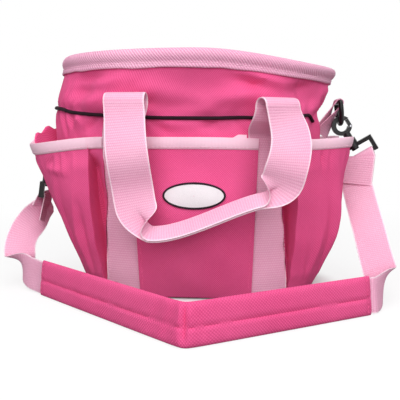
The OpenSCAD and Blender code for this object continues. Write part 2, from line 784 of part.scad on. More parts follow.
// Off a turned bar the strap first falls square, so that its edges clear the eye's frame
function square_fall(side, way) = eye_turn(side) == 0
  ? []
  : [eye_bar(side) + way * loop_r * bar_out(side) - strap_fall * bar_up(side)];
function strap_run(side) =
  let (bar = eye_bar(side), last = strap_end(side, strap_stub))
  concat([for (p = side == LEFT ? left_route_shares : right_route_shares)
    [bar.x + side * p[0] * strap_bow, mix(bar.y, last.y, p[1]), mix(bar.z, last.z, p[2])]],
    [last, strap_end(side, 2 * seam_gap)]);
function strap_lays(side) =
  let (last = unit(pad_up(side == LEFT ? left_in : right_in)))
  concat(side == LEFT ? left_lay_shares : right_lay_shares, [last, last]);
module strap(side) {
  run = strap_run(side);
  lays = strap_lays(side);
  count = len(run);
  tail = run[0] - bar_out(side) * (web_t + 2 * play);
  tail_s = turn_back / norm(run[0] - eye_bar(side));
  places = concat(
    [mix(eye_bar(side) - bar_out(side) * web_t, tail, tail_s)],
    square_fall(side, -1),
    strap_loop(side),
    square_fall(side, 1),
    [for (i = [0:count - 2]) for (k = [0:strap_steps - 1]) smooth(run, i, k / strap_steps)],
    [run[count - 1]]);
  widths = concat(
    [lays[0]],
    [for (p = concat(square_fall(side, -1), strap_loop(side), square_fall(side, 1))) bar_way(side)],
    [for (i = [0:count - 2]) for (k = [0:strap_steps - 1]) smooth(lays, i, k / strap_steps)],
    [lays[count - 1]]);
  function row(i, off) =
    let (
      way = run_way(places, i),
      wide = unit(widths[i] - way * (way * widths[i])),
      up = cross(way, wide))
    [for (x = [-strap_w / 2, strap_w / 2]) places[i] + wide * x + up * off];
  function face(off) = [for (i = [0:len(places) - 1]) row(i, off)];
  color(pale) sheet(face(web_t / 2), face(-web_t / 2));
}
module left_strap() {
  strap(LEFT);
}
module right_strap() {
  strap(RIGHT);
}

base_panel();
base_board();
body_front();
body_back();
rim_binding();
rim_hoop();
front_left_pocket();
front_right_pocket();
back_left_pocket();
back_right_pocket();
front_left_pocket_tape();
front_right_pocket_tape();
back_left_pocket_tape();
back_right_pocket_tape();
inner_front_pocket();
inner_front_pocket_tape();
front_pocket();
front_pocket_tape();
back_pocket();
back_pocket_tape();
badge();
badge_border();
elastic_cord();
front_left_leg();
front_right_leg();
back_left_leg();
back_right_leg();
front_handle();
back_handle();
left_tab();
right_tab();
left_ring();
right_ring();
left_hook();
right_hook();
left_gate();
right_gate();
left_gate_pin();
right_gate_pin();
left_eye();
right_eye();
left_strap();
right_strap();
shoulder_pad();
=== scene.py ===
"""Soft pink grooming tote with a padded shoulder strap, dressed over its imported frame."""

import math

import bpy
import numpy as np
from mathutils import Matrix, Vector


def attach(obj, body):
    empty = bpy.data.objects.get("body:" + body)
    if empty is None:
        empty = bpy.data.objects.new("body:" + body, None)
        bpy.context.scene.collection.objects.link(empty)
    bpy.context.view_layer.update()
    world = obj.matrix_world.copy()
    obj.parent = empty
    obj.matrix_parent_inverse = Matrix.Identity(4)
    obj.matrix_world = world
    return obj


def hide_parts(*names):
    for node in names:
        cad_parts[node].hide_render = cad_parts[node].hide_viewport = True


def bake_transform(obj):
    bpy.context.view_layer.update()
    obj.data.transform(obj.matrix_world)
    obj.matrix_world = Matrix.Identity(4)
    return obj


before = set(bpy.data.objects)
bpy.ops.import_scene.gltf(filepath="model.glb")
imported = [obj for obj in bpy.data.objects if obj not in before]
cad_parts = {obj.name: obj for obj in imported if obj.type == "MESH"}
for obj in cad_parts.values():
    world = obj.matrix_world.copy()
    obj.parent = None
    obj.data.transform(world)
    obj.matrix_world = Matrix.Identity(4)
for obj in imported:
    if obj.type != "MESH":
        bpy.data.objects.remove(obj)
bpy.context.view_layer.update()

# Sides and faces of the bag
LEFT, RIGHT = -1, 1
FRONT, BACK = 1, -1
SIDE_WORDS = {LEFT: "left", RIGHT: "right"}
FACE_WORDS = {FRONT: "front", BACK: "back"}
FORWARD = np.array([0.0, -1.0, 0.0])

# Sizes of the bag, as in its solids, in metres
MM = 0.001
BAG_H = 238 * MM
BASE_W, BASE_D = 232 * MM, 164 * MM
WAIST_W, WAIST_D = 276 * MM, 184 * MM
RIM_W, RIM_D = 284 * MM, 216 * MM
PLAN_POWER, RIM_POWER = 2.8, 2.1
CLOTH_T = 1.2 * MM
WAIST_LEAN = 12 * MM
RIM_DIP = 13 * MM
RIM_BAND_H = 18 * MM
RIM_TAPE_T = 1.4 * MM
HOOP_D = 5 * MM
SEAM_GAP = 0.3 * MM

POCKET_H = 157 * MM
POCKET_T = 1.2 * MM
TAPE_H = 11 * MM
FLARE = {LEFT: 28 * MM, RIGHT: 32 * MM}
MOUTH_RISE = {LEFT: -7 * MM, RIGHT: 4 * MM}
FLAT_POCKET_W = 120 * MM
FLAT_BELLY = 8 * MM
SLIP_W = 97 * MM
SLIP_RISE = 3 * MM

BADGE_W, BADGE_H = 59 * MM, 25 * MM
BADGE_Z = 103 * MM
BADGE_EDGE = 2 * MM
BADGE_T = 1.6 * MM

WEB_W, WEB_T = 38 * MM, 1.4 * MM
STRAP_W = 32 * MM
LEG_X = 69 * MM
FOLD_H = 197 * MM
FOLD_STEP = 5 * MM
FOLD_R = 8 * MM
RISER_GAP = 10 * MM
HANDLE_SLUMP = 7 * MM
GRIP_LOW, GRIP_HIGH = 71 * MM, 101 * MM
GRIP_L, GRIP_SHIFT = 98 * MM, 3 * MM
CORD_D = 3.5 * MM
CORD_Z = 175 * MM
CORD_RISE = 12 * MM

HOOP_Z = BAG_H - RIM_TAPE_T - SEAM_GAP - HOOP_D / 2
RIM_LOW = BAG_H - RIM_BAND_H
COLLAR_W = RIM_W - 2 * (RIM_TAPE_T + SEAM_GAP) - HOOP_D + CLOTH_T
COLLAR_D = RIM_D - 2 * (RIM_TAPE_T + SEAM_GAP) - HOOP_D + CLOTH_T
CORD_TOP = CORD_Z + CORD_RISE
POCKET_LOW = CLOTH_T + 1 * MM


# Plain number helpers, on arrays
def ease(s):
    k = np.clip(s, 0, 1)
    return k * k * (3 - 2 * k)


def mix(a, b, s):
    return a + (b - a) * s


def bell(distance, width):
    return np.exp(-(distance / width) ** 2)


def unit(v):
    v = np.asarray(v, float)
    return v / np.linalg.norm(v, axis=-1, keepdims=True)


def points(*parts):
    return np.stack(np.broadcast_arrays(*parts), -1)


def ridge(x, y, run, width, height, tip_share):
    """A ridge along a straight run from the origin, that fades toward its tips."""
    share = np.clip((x * run[0] + y * run[1]) / (run @ run), 0, 1)
    distance = np.hypot(x - share * run[0], y - share * run[1])
    return height * bell(distance, width) * np.sin(np.pi * np.clip(share, tip_share, 1 - tip_share))


def sin_deg(a):
    return np.sin(np.radians(a))


def cos_deg(a):
    return np.cos(np.radians(a))


# The bag's skin: an oval that widens upward, leans to the left and dips at the right of the rim
LEVELS = [0, POCKET_H, CORD_TOP, RIM_LOW, BAG_H]
HALF_WIDTHS = [BASE_W / 2, WAIST_W / 2, WAIST_W / 2, COLLAR_W / 2, COLLAR_W / 2]
HALF_DEPTHS = [BASE_D / 2, WAIST_D / 2, WAIST_D / 2, COLLAR_D / 2, COLLAR_D / 2]
LEAN_SHARE = 1.5
DIP_SHARE = 3


def oval(z):
    return np.interp(z, [CORD_TOP, RIM_LOW], [PLAN_POWER, RIM_POWER])


def half_w(z):
    return np.interp(z, LEVELS, HALF_WIDTHS)


def half_d(z):
    return np.interp(z, LEVELS, HALF_DEPTHS)


def lean(z):
    return -WAIST_LEAN * np.sin(np.pi * (np.maximum(z, 0) / BAG_H) ** LEAN_SHARE)


def dip(x, z):
    return RIM_DIP * ease(2 * x / RIM_W) * (np.maximum(z, 0) / BAG_H) ** DIP_SHARE


def signed_power(v, share):
    return np.sign(v) * np.abs(v) ** share


def skin(t, z, off):
    """The point at angle t degrees and height z, off metres out from the bag's skin."""
    t, z, off = np.broadcast_arrays(np.asarray(t, float), np.asarray(z, float), np.asarray(off, float))
    a, b, p = half_w(z), half_d(z), oval(z)
    c, s = cos_deg(t), sin_deg(t)
    out = unit(points(signed_power(c, 2 - 2 / p) / a, signed_power(s, 2 - 2 / p) / b))
    x = a * signed_power(c, 2 / p) + lean(z) + off * out[..., 0]
    y = b * signed_power(s, 2 / p) + off * out[..., 1]
    return points(x, y, z - dip(x, z))


def front_skin(x, z, off):
    x, z, off = np.broadcast_arrays(np.asarray(x, float), np.asarray(z, float), np.asarray(off, float))
    reach = np.clip(np.abs(x - lean(z)) / half_w(z), 0, 1) ** oval(z)
    return points(x, -half_d(z) * (1 - reach) ** (1 / oval(z)) - off, z - dip(x, z))


def angle_from(t, middle):
    return (t - middle + 180) % 360 - 180


def on_face(face, *parts):
    """Parts made for the front, as they are or mirrored to the back."""
    return [p * np.array([1, face, 1]) for p in parts]


# Mesh making: every piece is a sweep of closed rings, with a cloth map in metres
SHARP_EDGE = math.radians(55)


def place_mesh(name, verts, faces, face_map, material):
    mesh = bpy.data.meshes.new(name)
    mesh.from_pydata(np.reshape(verts, (-1, 3)).tolist(), [], np.asarray(faces).tolist())
    layer = mesh.uv_layers.new(name="cloth_map")
    layer.uv.foreach_set("vector", np.asarray(face_map, np.float32).ravel())
    mesh.polygons.foreach_set("use_smooth", np.ones(len(mesh.polygons), bool))
    mesh.set_sharp_from_angle(angle=SHARP_EDGE)
    mesh.materials.append(material)
    piece = bpy.data.objects.new(name, mesh)
    bpy.context.scene.collection.objects.link(piece)
    return piece


def faces_outward(verts, faces):
    """Whether the closed mesh of quads encloses a positive volume."""
    v = np.reshape(verts, (-1, 3))
    a, b, c, d = (v[faces[:, k]] for k in range(4))
    return (np.cross(b - a, c - a) * a).sum() + (np.cross(c - a, d - a) * a).sum() > 0


def sweep(name, rings, cloth_map, material, loop=False):
    """Rings of points joined into a closed skin. Point k of a ring faces point m - 1 - k across it."""
    n, m = rings.shape[:2]
    rows = np.arange(n if loop else n - 1)
    r, k = (g.ravel() for g in np.meshgrid(rows, np.arange(m), indexing="ij"))
    corners = [(r, k), (r, k + 1), (r + 1, k + 1), (r + 1, k)]
    quads = np.stack([(a % n) * m + b % m for a, b in corners], 1)
    quad_map = np.stack([cloth_map[a, b] for a, b in corners], 1)
    if not loop:
        c = np.arange(m // 2 - 1)
        lid = np.stack([c, c + 1, m - 2 - c, m - 1 - c], 1)
        quads = np.concatenate([quads, lid[:, ::-1], lid + (n - 1) * m])
        quad_map = np.concatenate([quad_map, cloth_map[0][lid[:, ::-1]], cloth_map[n - 1][lid]])
    if not faces_outward(rings, quads):
        quads, quad_map = quads[:, ::-1], quad_map[:, ::-1]
    return place_mesh(name, rings, quads, quad_map, material)


def run_lengths(path):
    steps = np.linalg.norm(np.diff(path, axis=0), axis=-1)
    return np.concatenate([[0], np.cumsum(steps)])


def round_lengths(path):
    """Lengths along a closed path, back to its start."""
    return run_lengths(np.concatenate([path, path[:1]]))


def shell(name, outer, inner, material, loop=False):
    """A sheet of cloth between two grids of points, mapped along the outer grid's middle lines."""
    rings = np.concatenate([outer, inner[:, ::-1]], 1)
    middle_row, middle_col = outer.shape[0] // 2, outer.shape[1] // 2
    path = outer[:, middle_col]
    along = round_lengths(path) if loop else run_lengths(path)
    up = run_lengths(outer[middle_row])
    round_map = np.concatenate([up, up[::-1], up[:1]])
    cloth_map = points(along[:, None], round_map[None, :])
    return sweep(name, rings, cloth_map, material, loop)


def ribbon_section(width, thick, steps=8, round_share=0.5):
    """Places (across, off) round a flat strip with soft edges."""
    across = np.linspace(1, -1, steps + 1)
    pinch = np.where(np.isclose(np.abs(across), 1), round_share, 1)
    top = np.stack([across * width / 2, thick / 2 * pinch], 1)
    under = np.stack([across[::-1] * width / 2, -thick / 2 * pinch], 1)
    return np.concatenate([top, under])


def ribbon_map(along, section):
    across = np.concatenate([section[:, 0], section[:1, 0]])
    return points(np.asarray(along)[:, None], across[None, :])


# Stitches: short rounded threads laid along a line
STITCH_L, STITCH_GAP, STITCH_R = 2.6 * MM, 1.2 * MM, 0.42 * MM
STITCH_SIDES = 6
STITCH_LIFT = 0.1 * MM
# Each ring of a stitch: its place as a share of the length, and its share of the thread's radius
STITCH_SHARES = np.array([[-0.5, 0.25], [-0.3, 0.9], [0.3, 0.9], [0.5, 0.25]])


def resample(path, spacing):
    along = run_lengths(path)
    count = max(int(along[-1] / spacing), 1)
    marks = (np.arange(count) + 0.5) * along[-1] / count
    return lambda values: np.stack([np.interp(marks, along, values[:, i]) for i in range(3)], 1)


def stitches(name, runs, material):
    """One mesh of stitches. Each run is its line of points and the outward way at each point."""
    turn = np.arange(STITCH_SIDES) * 2 * np.pi / STITCH_SIDES
    grid = np.stack([points(s, r * np.cos(turn), r * np.sin(turn)) for s, r in STITCH_SHARES])
    template = grid.reshape(-1, 3) * np.array([STITCH_L, STITCH_R, STITCH_R])
    rows, sides = len(STITCH_SHARES), STITCH_SIDES
    r, k = (g.ravel() for g in np.meshgrid(np.arange(rows - 1), np.arange(sides), indexing="ij"))
    wrap = (k + 1) % sides
    quads = np.stack([r * sides + k, r * sides + wrap, (r + 1) * sides + wrap, (r + 1) * sides + k], 1)
    lid = np.array([[3, 2, 1, 0], [5, 4, 3, 0]])
    quads = np.concatenate([quads, lid, lid[:, ::-1] + (rows - 1) * sides])
    verts, faces, total = [], [], 0
    for path, out in runs:
        pick = resample(path, STITCH_L + STITCH_GAP)
        centre, up = pick(path), unit(pick(out))
        way = unit(np.gradient(centre, axis=0)) if len(centre) > 1 else unit(path[-1:] - path[:1])
        side = unit(np.cross(up, way))
        for c, w, s, u in zip(centre, way, side, np.cross(way, side)):
            verts.append(c + template @ np.stack([w, s, u]))
            faces.append(quads + total)
            total += len(template)
    faces = np.concatenate(faces)
    return place_mesh(name, np.concatenate(verts), faces, np.zeros((len(faces), 4, 2)), material)


# Colours, as seen in plain light
def paint(red, green, blue):
    def linear(v):
        s = v / 255
        return s / 12.92 if s <= 0.04045 else ((s + 0.055) / 1.055) ** 2.4
    return linear(red), linear(green), linear(blue), 1


# The deep colours are the cloth's uneven tone and also the painted shade in its weave's valleys
PINK = paint(244, 108, 161)
PINK_DEEP = paint(206, 50, 112)
PALE = paint(247, 196, 218)
PALE_DEEP = paint(214, 118, 160)
RIM_PALE = paint(242, 192, 214)
RIM_DEEP = paint(212, 128, 166)
TAPE_PALE = paint(248, 214, 228)
TAPE_DEEP = paint(236, 184, 206)
CORD_DARK = paint(46, 24, 36)
CORD_BLACK = paint(24, 12, 19)
PLASTIC = paint(17, 15, 17)
PLASTIC_SCUFFED = paint(40, 37, 39)
BADGE_WHITE = paint(234, 229, 232)
BADGE_SHADE = paint(214, 208, 212)
BADGE_DARK = paint(44, 24, 36)
BOARD_GREY = paint(112, 104, 110)
BOARD_DARK = paint(84, 78, 83)
STEEL = paint(190, 190, 196)
STEEL_DULL = paint(150, 150, 156)
WHITE = (1, 1, 1, 1)


# Node helpers: each gives back the output socket that the next node takes
def link(tree, value, socket):
    if isinstance(value, bpy.types.NodeSocket):
        tree.links.new(value, socket)
    else:
        socket.default_value = value


def calc(tree, operation, *values):
    node = tree.nodes.new("ShaderNodeMath")
    node.operation = operation
    for value, socket in zip(values, node.inputs):
        link(tree, value, socket)
    return node.outputs[0]


def wave(tree, place, pitch):
    """A soft ridge from 0 to 1 that repeats every pitch metres."""
    turns = calc(tree, "MULTIPLY", calc(tree, "DIVIDE", place, pitch), math.tau)
    return calc(tree, "MULTIPLY_ADD", calc(tree, "COSINE", turns), 0.5, 0.5)


# Sockets of the mix node that takes colours
MIX_SHARE, MIX_FIRST, MIX_SECOND, MIX_RESULT = 0, 6, 7, 2


def blend_colours(tree, share, first, second):
    node = tree.nodes.new("ShaderNodeMix")
    node.data_type = "RGBA"
    for value, place in ((share, MIX_SHARE), (first, MIX_FIRST), (second, MIX_SECOND)):
        link(tree, value, node.inputs[place])
    return node.outputs[MIX_RESULT]


def span(tree, value, low, high):
    node = tree.nodes.new("ShaderNodeMapRange")
    node.interpolation_type = "SMOOTHSTEP"
    for key, amount in (("Value", value), ("From Min", low), ("From Max", high)):
        link(tree, amount, node.inputs[key])
    return node.outputs["Result"]


def noise(tree, place, scale, detail):
    node = tree.nodes.new("ShaderNodeTexNoise")
    link(tree, place, node.inputs["Vector"])
    link(tree, scale, node.inputs["Scale"])
    node.inputs["Detail"].default_value = detail
    return node.outputs["Fac"]


def split(tree, place):
    node = tree.nodes.new("ShaderNodeSeparateXYZ")
    tree.links.new(place, node.inputs[0])
    return node.outputs


def start_group(name, inputs, outputs):
    tree = bpy.data.node_groups.new(name, "ShaderNodeTree")
    kinds = {"v": "NodeSocketVector", "f": "NodeSocketFloat", "c": "NodeSocketColor"}
    for label, kind in inputs:
        tree.interface.new_socket(name=label, in_out="INPUT", socket_type=kinds[kind])
    for label, kind in outputs:
        tree.interface.new_socket(name=label, in_out="OUTPUT", socket_type=kinds[kind])
    return tree, tree.nodes.new("NodeGroupInput").outputs, tree.nodes.new("NodeGroupOutput").inputs


# Shared effects: noise scales are per metre, spans are shares, and rough pairs are its rise and its least
DRIFT_SCALE, DRIFT_SPAN, FLECK_SCALE = 14, (0.3, 0.75), 900
# Valley shares: how much painted shade darkens the weave's valleys
VALLEY_SHADE_SHARE, RIB_VALLEY_SHADE_SHARE = 0.6, 0.8
# The edge span: where the painted highlight along a webbing's edges fades in
RIB_ROUNDING, EDGE_HIGHLIGHT_SPAN = 0.6, (0.9, 0.98)
TWILL_YARN_SHARE, TWILL_CORD_SHARE = 0.7, 0.75
CLOTH_ROUGH, PLASTIC_ROUGH, STEEL_ROUGH = (0.2, 0.68), (0.25, 0.3), (0.25, 0.2)
FUZZ_SCALE, FUZZ_DEPTH = 3000, 0.1 * MM
GRAIN_SCALE, GRAIN_DEPTH = 2600, 0.08 * MM
SCUFF_SCALE, SCUFF_SPAN, STREAK_SCALE = 120, (0.55, 0.8), 700
SHEEN_ROUGH = 0.4
CLOTH_SHINE, PLASTIC_SHINE, ELASTIC_SHINE = 0.25, 0.3, 0.15


def make_plain_weave():
    """Threads that cross over and under, on the cloth map, and a valley mask for painted shade between them.
    """
    tree, given, out = start_group("plain_weave", [("Map", "v"), ("Thread", "f")],
                                   [("Height", "f"), ("Valley", "f")])
    place = split(tree, given["Map"])
    warp = wave(tree, place[0], given["Thread"])
    weft = wave(tree, place[1], given["Thread"])
    over = calc(tree, "MAXIMUM", calc(tree, "MULTIPLY", warp, calc(tree, "SUBTRACT", 1, weft)),
                calc(tree, "MULTIPLY", weft, calc(tree, "SUBTRACT", 1, warp)))
    tree.links.new(over, out["Height"])
    tree.links.new(calc(tree, "SUBTRACT", 1, over), out["Valley"])
    return tree


def make_ribbed_web():
    """Ribs across a strip of webbing, with fine yarns along it, a valley mask for painted shade between the
    ribs and a mask for a painted highlight along its edges.
    """
    tree, given, out = start_group("ribbed_web", [("Map", "v"), ("Rib", "f"), ("Yarn", "f"), ("Width", "f")],
                                   [("Height", "f"), ("Valley", "f"), ("Edge_highlight", "f")])
    place = split(tree, given["Map"])
    row = calc(tree, "FLOOR", calc(tree, "DIVIDE", place[0], given["Rib"]))
    shift = calc(tree, "MULTIPLY", calc(tree, "MODULO", row, 2), calc(tree, "MULTIPLY", given["Yarn"], 0.5))
    from_rib = calc(tree, "ADD", place[0], calc(tree, "MULTIPLY", given["Rib"], 0.5))
    rib = calc(tree, "POWER", wave(tree, from_rib, given["Rib"]), RIB_ROUNDING)
    yarn = wave(tree, calc(tree, "ADD", place[1], shift), given["Yarn"])
    height = calc(tree, "MULTIPLY_ADD", yarn, 0.5, calc(tree, "MULTIPLY", rib, 0.5))
    tree.links.new(height, out["Height"])
    tree.links.new(calc(tree, "MULTIPLY", calc(tree, "SUBTRACT", 1, height), RIB_VALLEY_SHADE_SHARE), out["Valley"])
    half = calc(tree, "MULTIPLY", given["Width"], 0.5)
    reach = calc(tree, "DIVIDE", calc(tree, "ABSOLUTE", place[1]), half)
    tree.links.new(span(tree, reach, *EDGE_HIGHLIGHT_SPAN), out["Edge_highlight"])
    return tree


def make_twill():
    """Slanting cords of a twill tape, broken into yarns, and a valley mask for painted shade between the
    cords.
    """
    tree, given, out = start_group("twill_tape", [("Map", "v"), ("Cord", "f")],
                                   [("Height", "f"), ("Valley", "f")])
    place = split(tree, given["Map"])
    slant = calc(tree, "ADD", place[0], place[1])
    cord = wave(tree, slant, given["Cord"])
    pitch = calc(tree, "MULTIPLY", given["Cord"], TWILL_YARN_SHARE)
    yarn = wave(tree, calc(tree, "SUBTRACT", place[0], place[1]), pitch)
    ribbed = calc(tree, "MULTIPLY", cord, TWILL_CORD_SHARE)
    height = calc(tree, "MULTIPLY_ADD", yarn, 1 - TWILL_CORD_SHARE, ribbed)
    tree.links.new(height, out["Height"])
    tree.links.new(calc(tree, "SUBTRACT", 1, cord), out["Valley"])
    return tree


def make_dye_with_painted_valley_shade():
    """A slow drift and a fine fleck between a colour and its deeper tone, which also paints shade into the
    weave's valleys.
    """
    tree, given, out = start_group("dye_with_painted_valley_shade", [("Place", "v"), ("Colour", "c"), ("Deep", "c"),
                                                  ("Valley", "f"), ("Drift", "f"), ("Fleck", "f")],
                                   [("Colour", "c"), ("Rough", "f")])
    slow = span(tree, noise(tree, given["Place"], DRIFT_SCALE, detail=3), *DRIFT_SPAN)
    fine = noise(tree, given["Place"], FLECK_SCALE, detail=2)
    valley = calc(tree, "MULTIPLY", given["Valley"], VALLEY_SHADE_SHARE)
    flecked = calc(tree, "MULTIPLY_ADD", fine, given["Fleck"], valley)
    share = calc(tree, "MINIMUM", calc(tree, "MULTIPLY_ADD", slow, given["Drift"], flecked), 1)
    tree.links.new(blend_colours(tree, share, given["Colour"], given["Deep"]), out["Colour"])
    tree.links.new(calc(tree, "MULTIPLY_ADD", fine, *CLOTH_ROUGH), out["Rough"])
    return tree


GROUPS = {"plain": make_plain_weave(), "web": make_ribbed_web(), "twill": make_twill(),
          "dye_and_shade": make_dye_with_painted_valley_shade()}


def place_group(tree, key, **values):
    node = tree.nodes.new("ShaderNodeGroup")
    node.node_tree = GROUPS[key]
    for label, value in values.items():
        link(tree, value, node.inputs[label])
    return node.outputs


def start_material(name):
    material = bpy.data.materials.new(name)
    material.use_nodes = True
    tree = material.node_tree
    coords = tree.nodes.new("ShaderNodeTexCoord").outputs
    return material, tree, tree.nodes["Principled BSDF"].inputs, coords


def add_bump(tree, shader, height, depth):
    bump = tree.nodes.new("ShaderNodeBump")
    bump.inputs["Distance"].default_value = depth
    bump.inputs["Strength"].default_value = 1
    tree.links.new(height, bump.inputs["Height"])
    tree.links.new(bump.outputs["Normal"], shader["Normal"])


def set_sheen(shader, weight, tint):
    shader["Sheen Weight"].default_value = weight
    shader["Sheen Roughness"].default_value = SHEEN_ROUGH
    shader["Sheen Tint"].default_value = tint
    shader["Specular IOR Level"].default_value = CLOTH_SHINE


def lay_dye_and_shade(tree, shader, coords, colour, deep, valley, drift, fleck):
    """Joins the colour, with its painted valley shade, and the roughness to the shader, and gives back the
    colour.
    """
    dye_and_shade = place_group(tree, "dye_and_shade", Place=coords["Object"], Colour=colour, Deep=deep, Valley=valley,
                      Drift=drift, Fleck=fleck)
    tree.links.new(dye_and_shade["Colour"], shader["Base Color"])
    tree.links.new(dye_and_shade["Rough"], shader["Roughness"])
    return dye_and_shade["Colour"]


# The cloth, tape and elastic materials below paint shade into their weave's valleys
def woven_cloth(name, colour, deep, thread, depth, drift, fleck):
    material, tree, shader, coords = start_material(name)
    weave = place_group(tree, "plain", Map=coords["UV"], Thread=thread)
    lay_dye_and_shade(tree, shader, coords, colour, deep, weave["Valley"], drift, fleck)
    add_bump(tree, shader, weave["Height"], depth)
    set_sheen(shader, weight=0.25, tint=colour)
    return material


def ribbed_webbing(name, colour, deep, edge, rib, yarn, width, depth):
    material, tree, shader, coords = start_material(name)
    weave = place_group(tree, "web", Map=coords["UV"], Rib=rib, Yarn=yarn, Width=width)
    dyed_and_shaded = lay_dye_and_shade(tree, shader, coords, colour, deep, weave["Valley"], drift=0.15, fleck=0.25)
    # The paler edges of the webbing are a painted highlight
    tree.links.new(blend_colours(tree, weave["Edge_highlight"], dyed_and_shaded, edge), shader["Base Color"])
    add_bump(tree, shader, weave["Height"], depth)
    set_sheen(shader, weight=0.2, tint=colour)
    return material


def twill_tape(name, colour, deep, cord, depth):
    material, tree, shader, coords = start_material(name)
    weave = place_group(tree, "twill", Map=coords["UV"], Cord=cord)
    lay_dye_and_shade(tree, shader, coords, colour, deep, weave["Valley"], drift=0.2, fleck=0.2)
    add_bump(tree, shader, weave["Height"], depth)
    set_sheen(shader, weight=0.2, tint=colour)
    return material


def sewing_thread(name, colour, deep):
    material, tree, shader, coords = start_material(name)
    lay_dye_and_shade(tree, shader, coords, colour, deep, valley=0.0, drift=0.2, fleck=0.6)
    add_bump(tree, shader, noise(tree, coords["Object"], FUZZ_SCALE, detail=2), FUZZ_DEPTH)
    return material


def moulded_plastic(name, colour, scuffed):
    material, tree, shader, coords = start_material(name)
    grain = noise(tree, coords["Object"], GRAIN_SCALE, detail=2)
    rub = span(tree, noise(tree, coords["Object"], SCUFF_SCALE, detail=4), *SCUFF_SPAN)
    tree.links.new(blend_colours(tree, rub, colour, scuffed), shader["Base Color"])
    tree.links.new(calc(tree, "MULTIPLY_ADD", rub, *PLASTIC_ROUGH), shader["Roughness"])
    shader["Specular IOR Level"].default_value = PLASTIC_SHINE
    add_bump(tree, shader, grain, GRAIN_DEPTH)
    return material


def drawn_steel(name, colour, dull):
    material, tree, shader, coords = start_material(name)
    streak = noise(tree, coords["Object"], STREAK_SCALE, detail=4)
    tree.links.new(blend_colours(tree, streak, colour, dull), shader["Base Color"])
    tree.links.new(calc(tree, "MULTIPLY_ADD", streak, *STEEL_ROUGH), shader["Roughness"])
    shader["Metallic"].default_value = 1
    return material


def braided_elastic(name, colour, deep, cord, depth):
    material, tree, shader, coords = start_material(name)
    weave = place_group(tree, "twill", Map=coords["UV"], Cord=cord)
    lay_dye_and_shade(tree, shader, coords, colour, deep, weave["Valley"], drift=0.2, fleck=0.4)
    shader["Specular IOR Level"].default_value = ELASTIC_SHINE
    add_bump(tree, shader, weave["Height"], depth)
    return material


CLOTH = woven_cloth("pink_cloth", PINK, PINK_DEEP, thread=2.2 * MM, depth=0.24 * MM, drift=0.16, fleck=0.25)
PAD_CLOTH = woven_cloth("pad_cloth", PINK, PINK_DEEP, thread=2.8 * MM, depth=0.35 * MM, drift=0.14, fleck=0.3)
BADGE_CLOTH = woven_cloth("badge_face", BADGE_WHITE, BADGE_SHADE, thread=0.7 * MM, depth=0.06 * MM,
                          drift=0.1, fleck=0.3)
BOARD = moulded_plastic("base_board", BOARD_GREY, BOARD_DARK)
WEBBING = ribbed_webbing("pale_webbing", PALE, PALE_DEEP, TAPE_PALE, rib=2.3 * MM, yarn=1.7 * MM,
                         width=WEB_W, depth=0.3 * MM)
STRAP_WEBBING = ribbed_webbing("strap_webbing", PALE, PALE_DEEP, TAPE_PALE, rib=2.3 * MM, yarn=1.7 * MM,
                               width=STRAP_W, depth=0.3 * MM)
TAPE = ribbed_webbing("pale_tape", TAPE_PALE, TAPE_DEEP, TAPE_PALE, rib=1.3 * MM, yarn=0.9 * MM,
                      width=2 * TAPE_H, depth=0.18 * MM)
RIM_TAPE = twill_tape("rim_tape", RIM_PALE, RIM_DEEP, cord=3.0 * MM, depth=0.4 * MM)
BADGE_EDGE_THREAD = twill_tape("badge_edge", BADGE_DARK, CORD_BLACK, cord=1.0 * MM, depth=0.2 * MM)
PALE_THREAD = sewing_thread("pale_thread", TAPE_PALE, PALE_DEEP)
PINK_THREAD = sewing_thread("pink_thread", PINK, PINK_DEEP)
ELASTIC = braided_elastic("elastic", CORD_DARK, CORD_BLACK, cord=1.6 * MM, depth=0.25 * MM)
BLACK_PLASTIC = moulded_plastic("black_plastic", PLASTIC, PLASTIC_SCUFFED)
HOOP_STEEL = drawn_steel("hoop_wire", STEEL, STEEL_DULL)


# Pleats by height: how far each laps over the leg, where its crease is past the leg's edge, how much cloth
# lies hidden under it, how deep its groove is and how far its crease stands out
PLEAT_LEVELS = np.array([0, 12, 22, 60, 93, 125, 143, 170]) * MM
PLEATS = {
    LEFT: {"over": np.array([0, 0, 0, 2, 5, 2, 0, 0]) * MM,
           "crease": np.array([3, 4, 6, 11, 13, 14, 15, 15]) * MM,
           "under": np.array([0, 1, 3, 6, 7, 5, 0, 0]) * MM,
           "depth": np.array([0, 0.5, 5, 14, 17, 13, 0, 0]) * MM,
           "stand": np.array([0, 2, 4, 8, 9, 6, 2, 1]) * MM},
    RIGHT: {"over": np.array([0, 0, 1, 7, 12, 7, 0, 0]) * MM,
            "crease": np.array([2, 2, 3, 5, 7, 9, 12, 12]) * MM,
            "under": np.array([0, 1, 2, 5, 6, 4, 0, 0]) * MM,
            "depth": np.array([0, 0.5, 4, 17, 21, 15, 0, 0]) * MM,
            "stand": np.array([0, 2, 4, 9, 10, 6, 2, 1]) * MM},
}
POCKET_ARC = 130 * MM
SEAM_TURN = 2
OVER_LEG = WEB_T + 2 * SEAM_GAP
LAP_RISE = 2 * MM
# The body's dent clears the groove, fades past the crease and is left out where the groove is shallow
DENT_CLEAR, DENT_START = 3 * OVER_LEG, 4 * MM
GROOVE_BACK, GROOVE_LEAST = 9 * MM, 0.2 * MM


def by_height(z, table):
    """Values of a pleat's table, eased between its levels."""
    place = np.interp(z, PLEAT_LEVELS, np.arange(len(PLEAT_LEVELS)))
    below = np.clip(np.floor(place).astype(int), 0, len(table) - 2)
    return mix(table[below], table[below + 1], ease(place - below))


def wall_start(side, z):
    return OVER_LEG * np.clip(by_height(z, PLEATS[side]["over"]) / LAP_RISE, 0, 1)


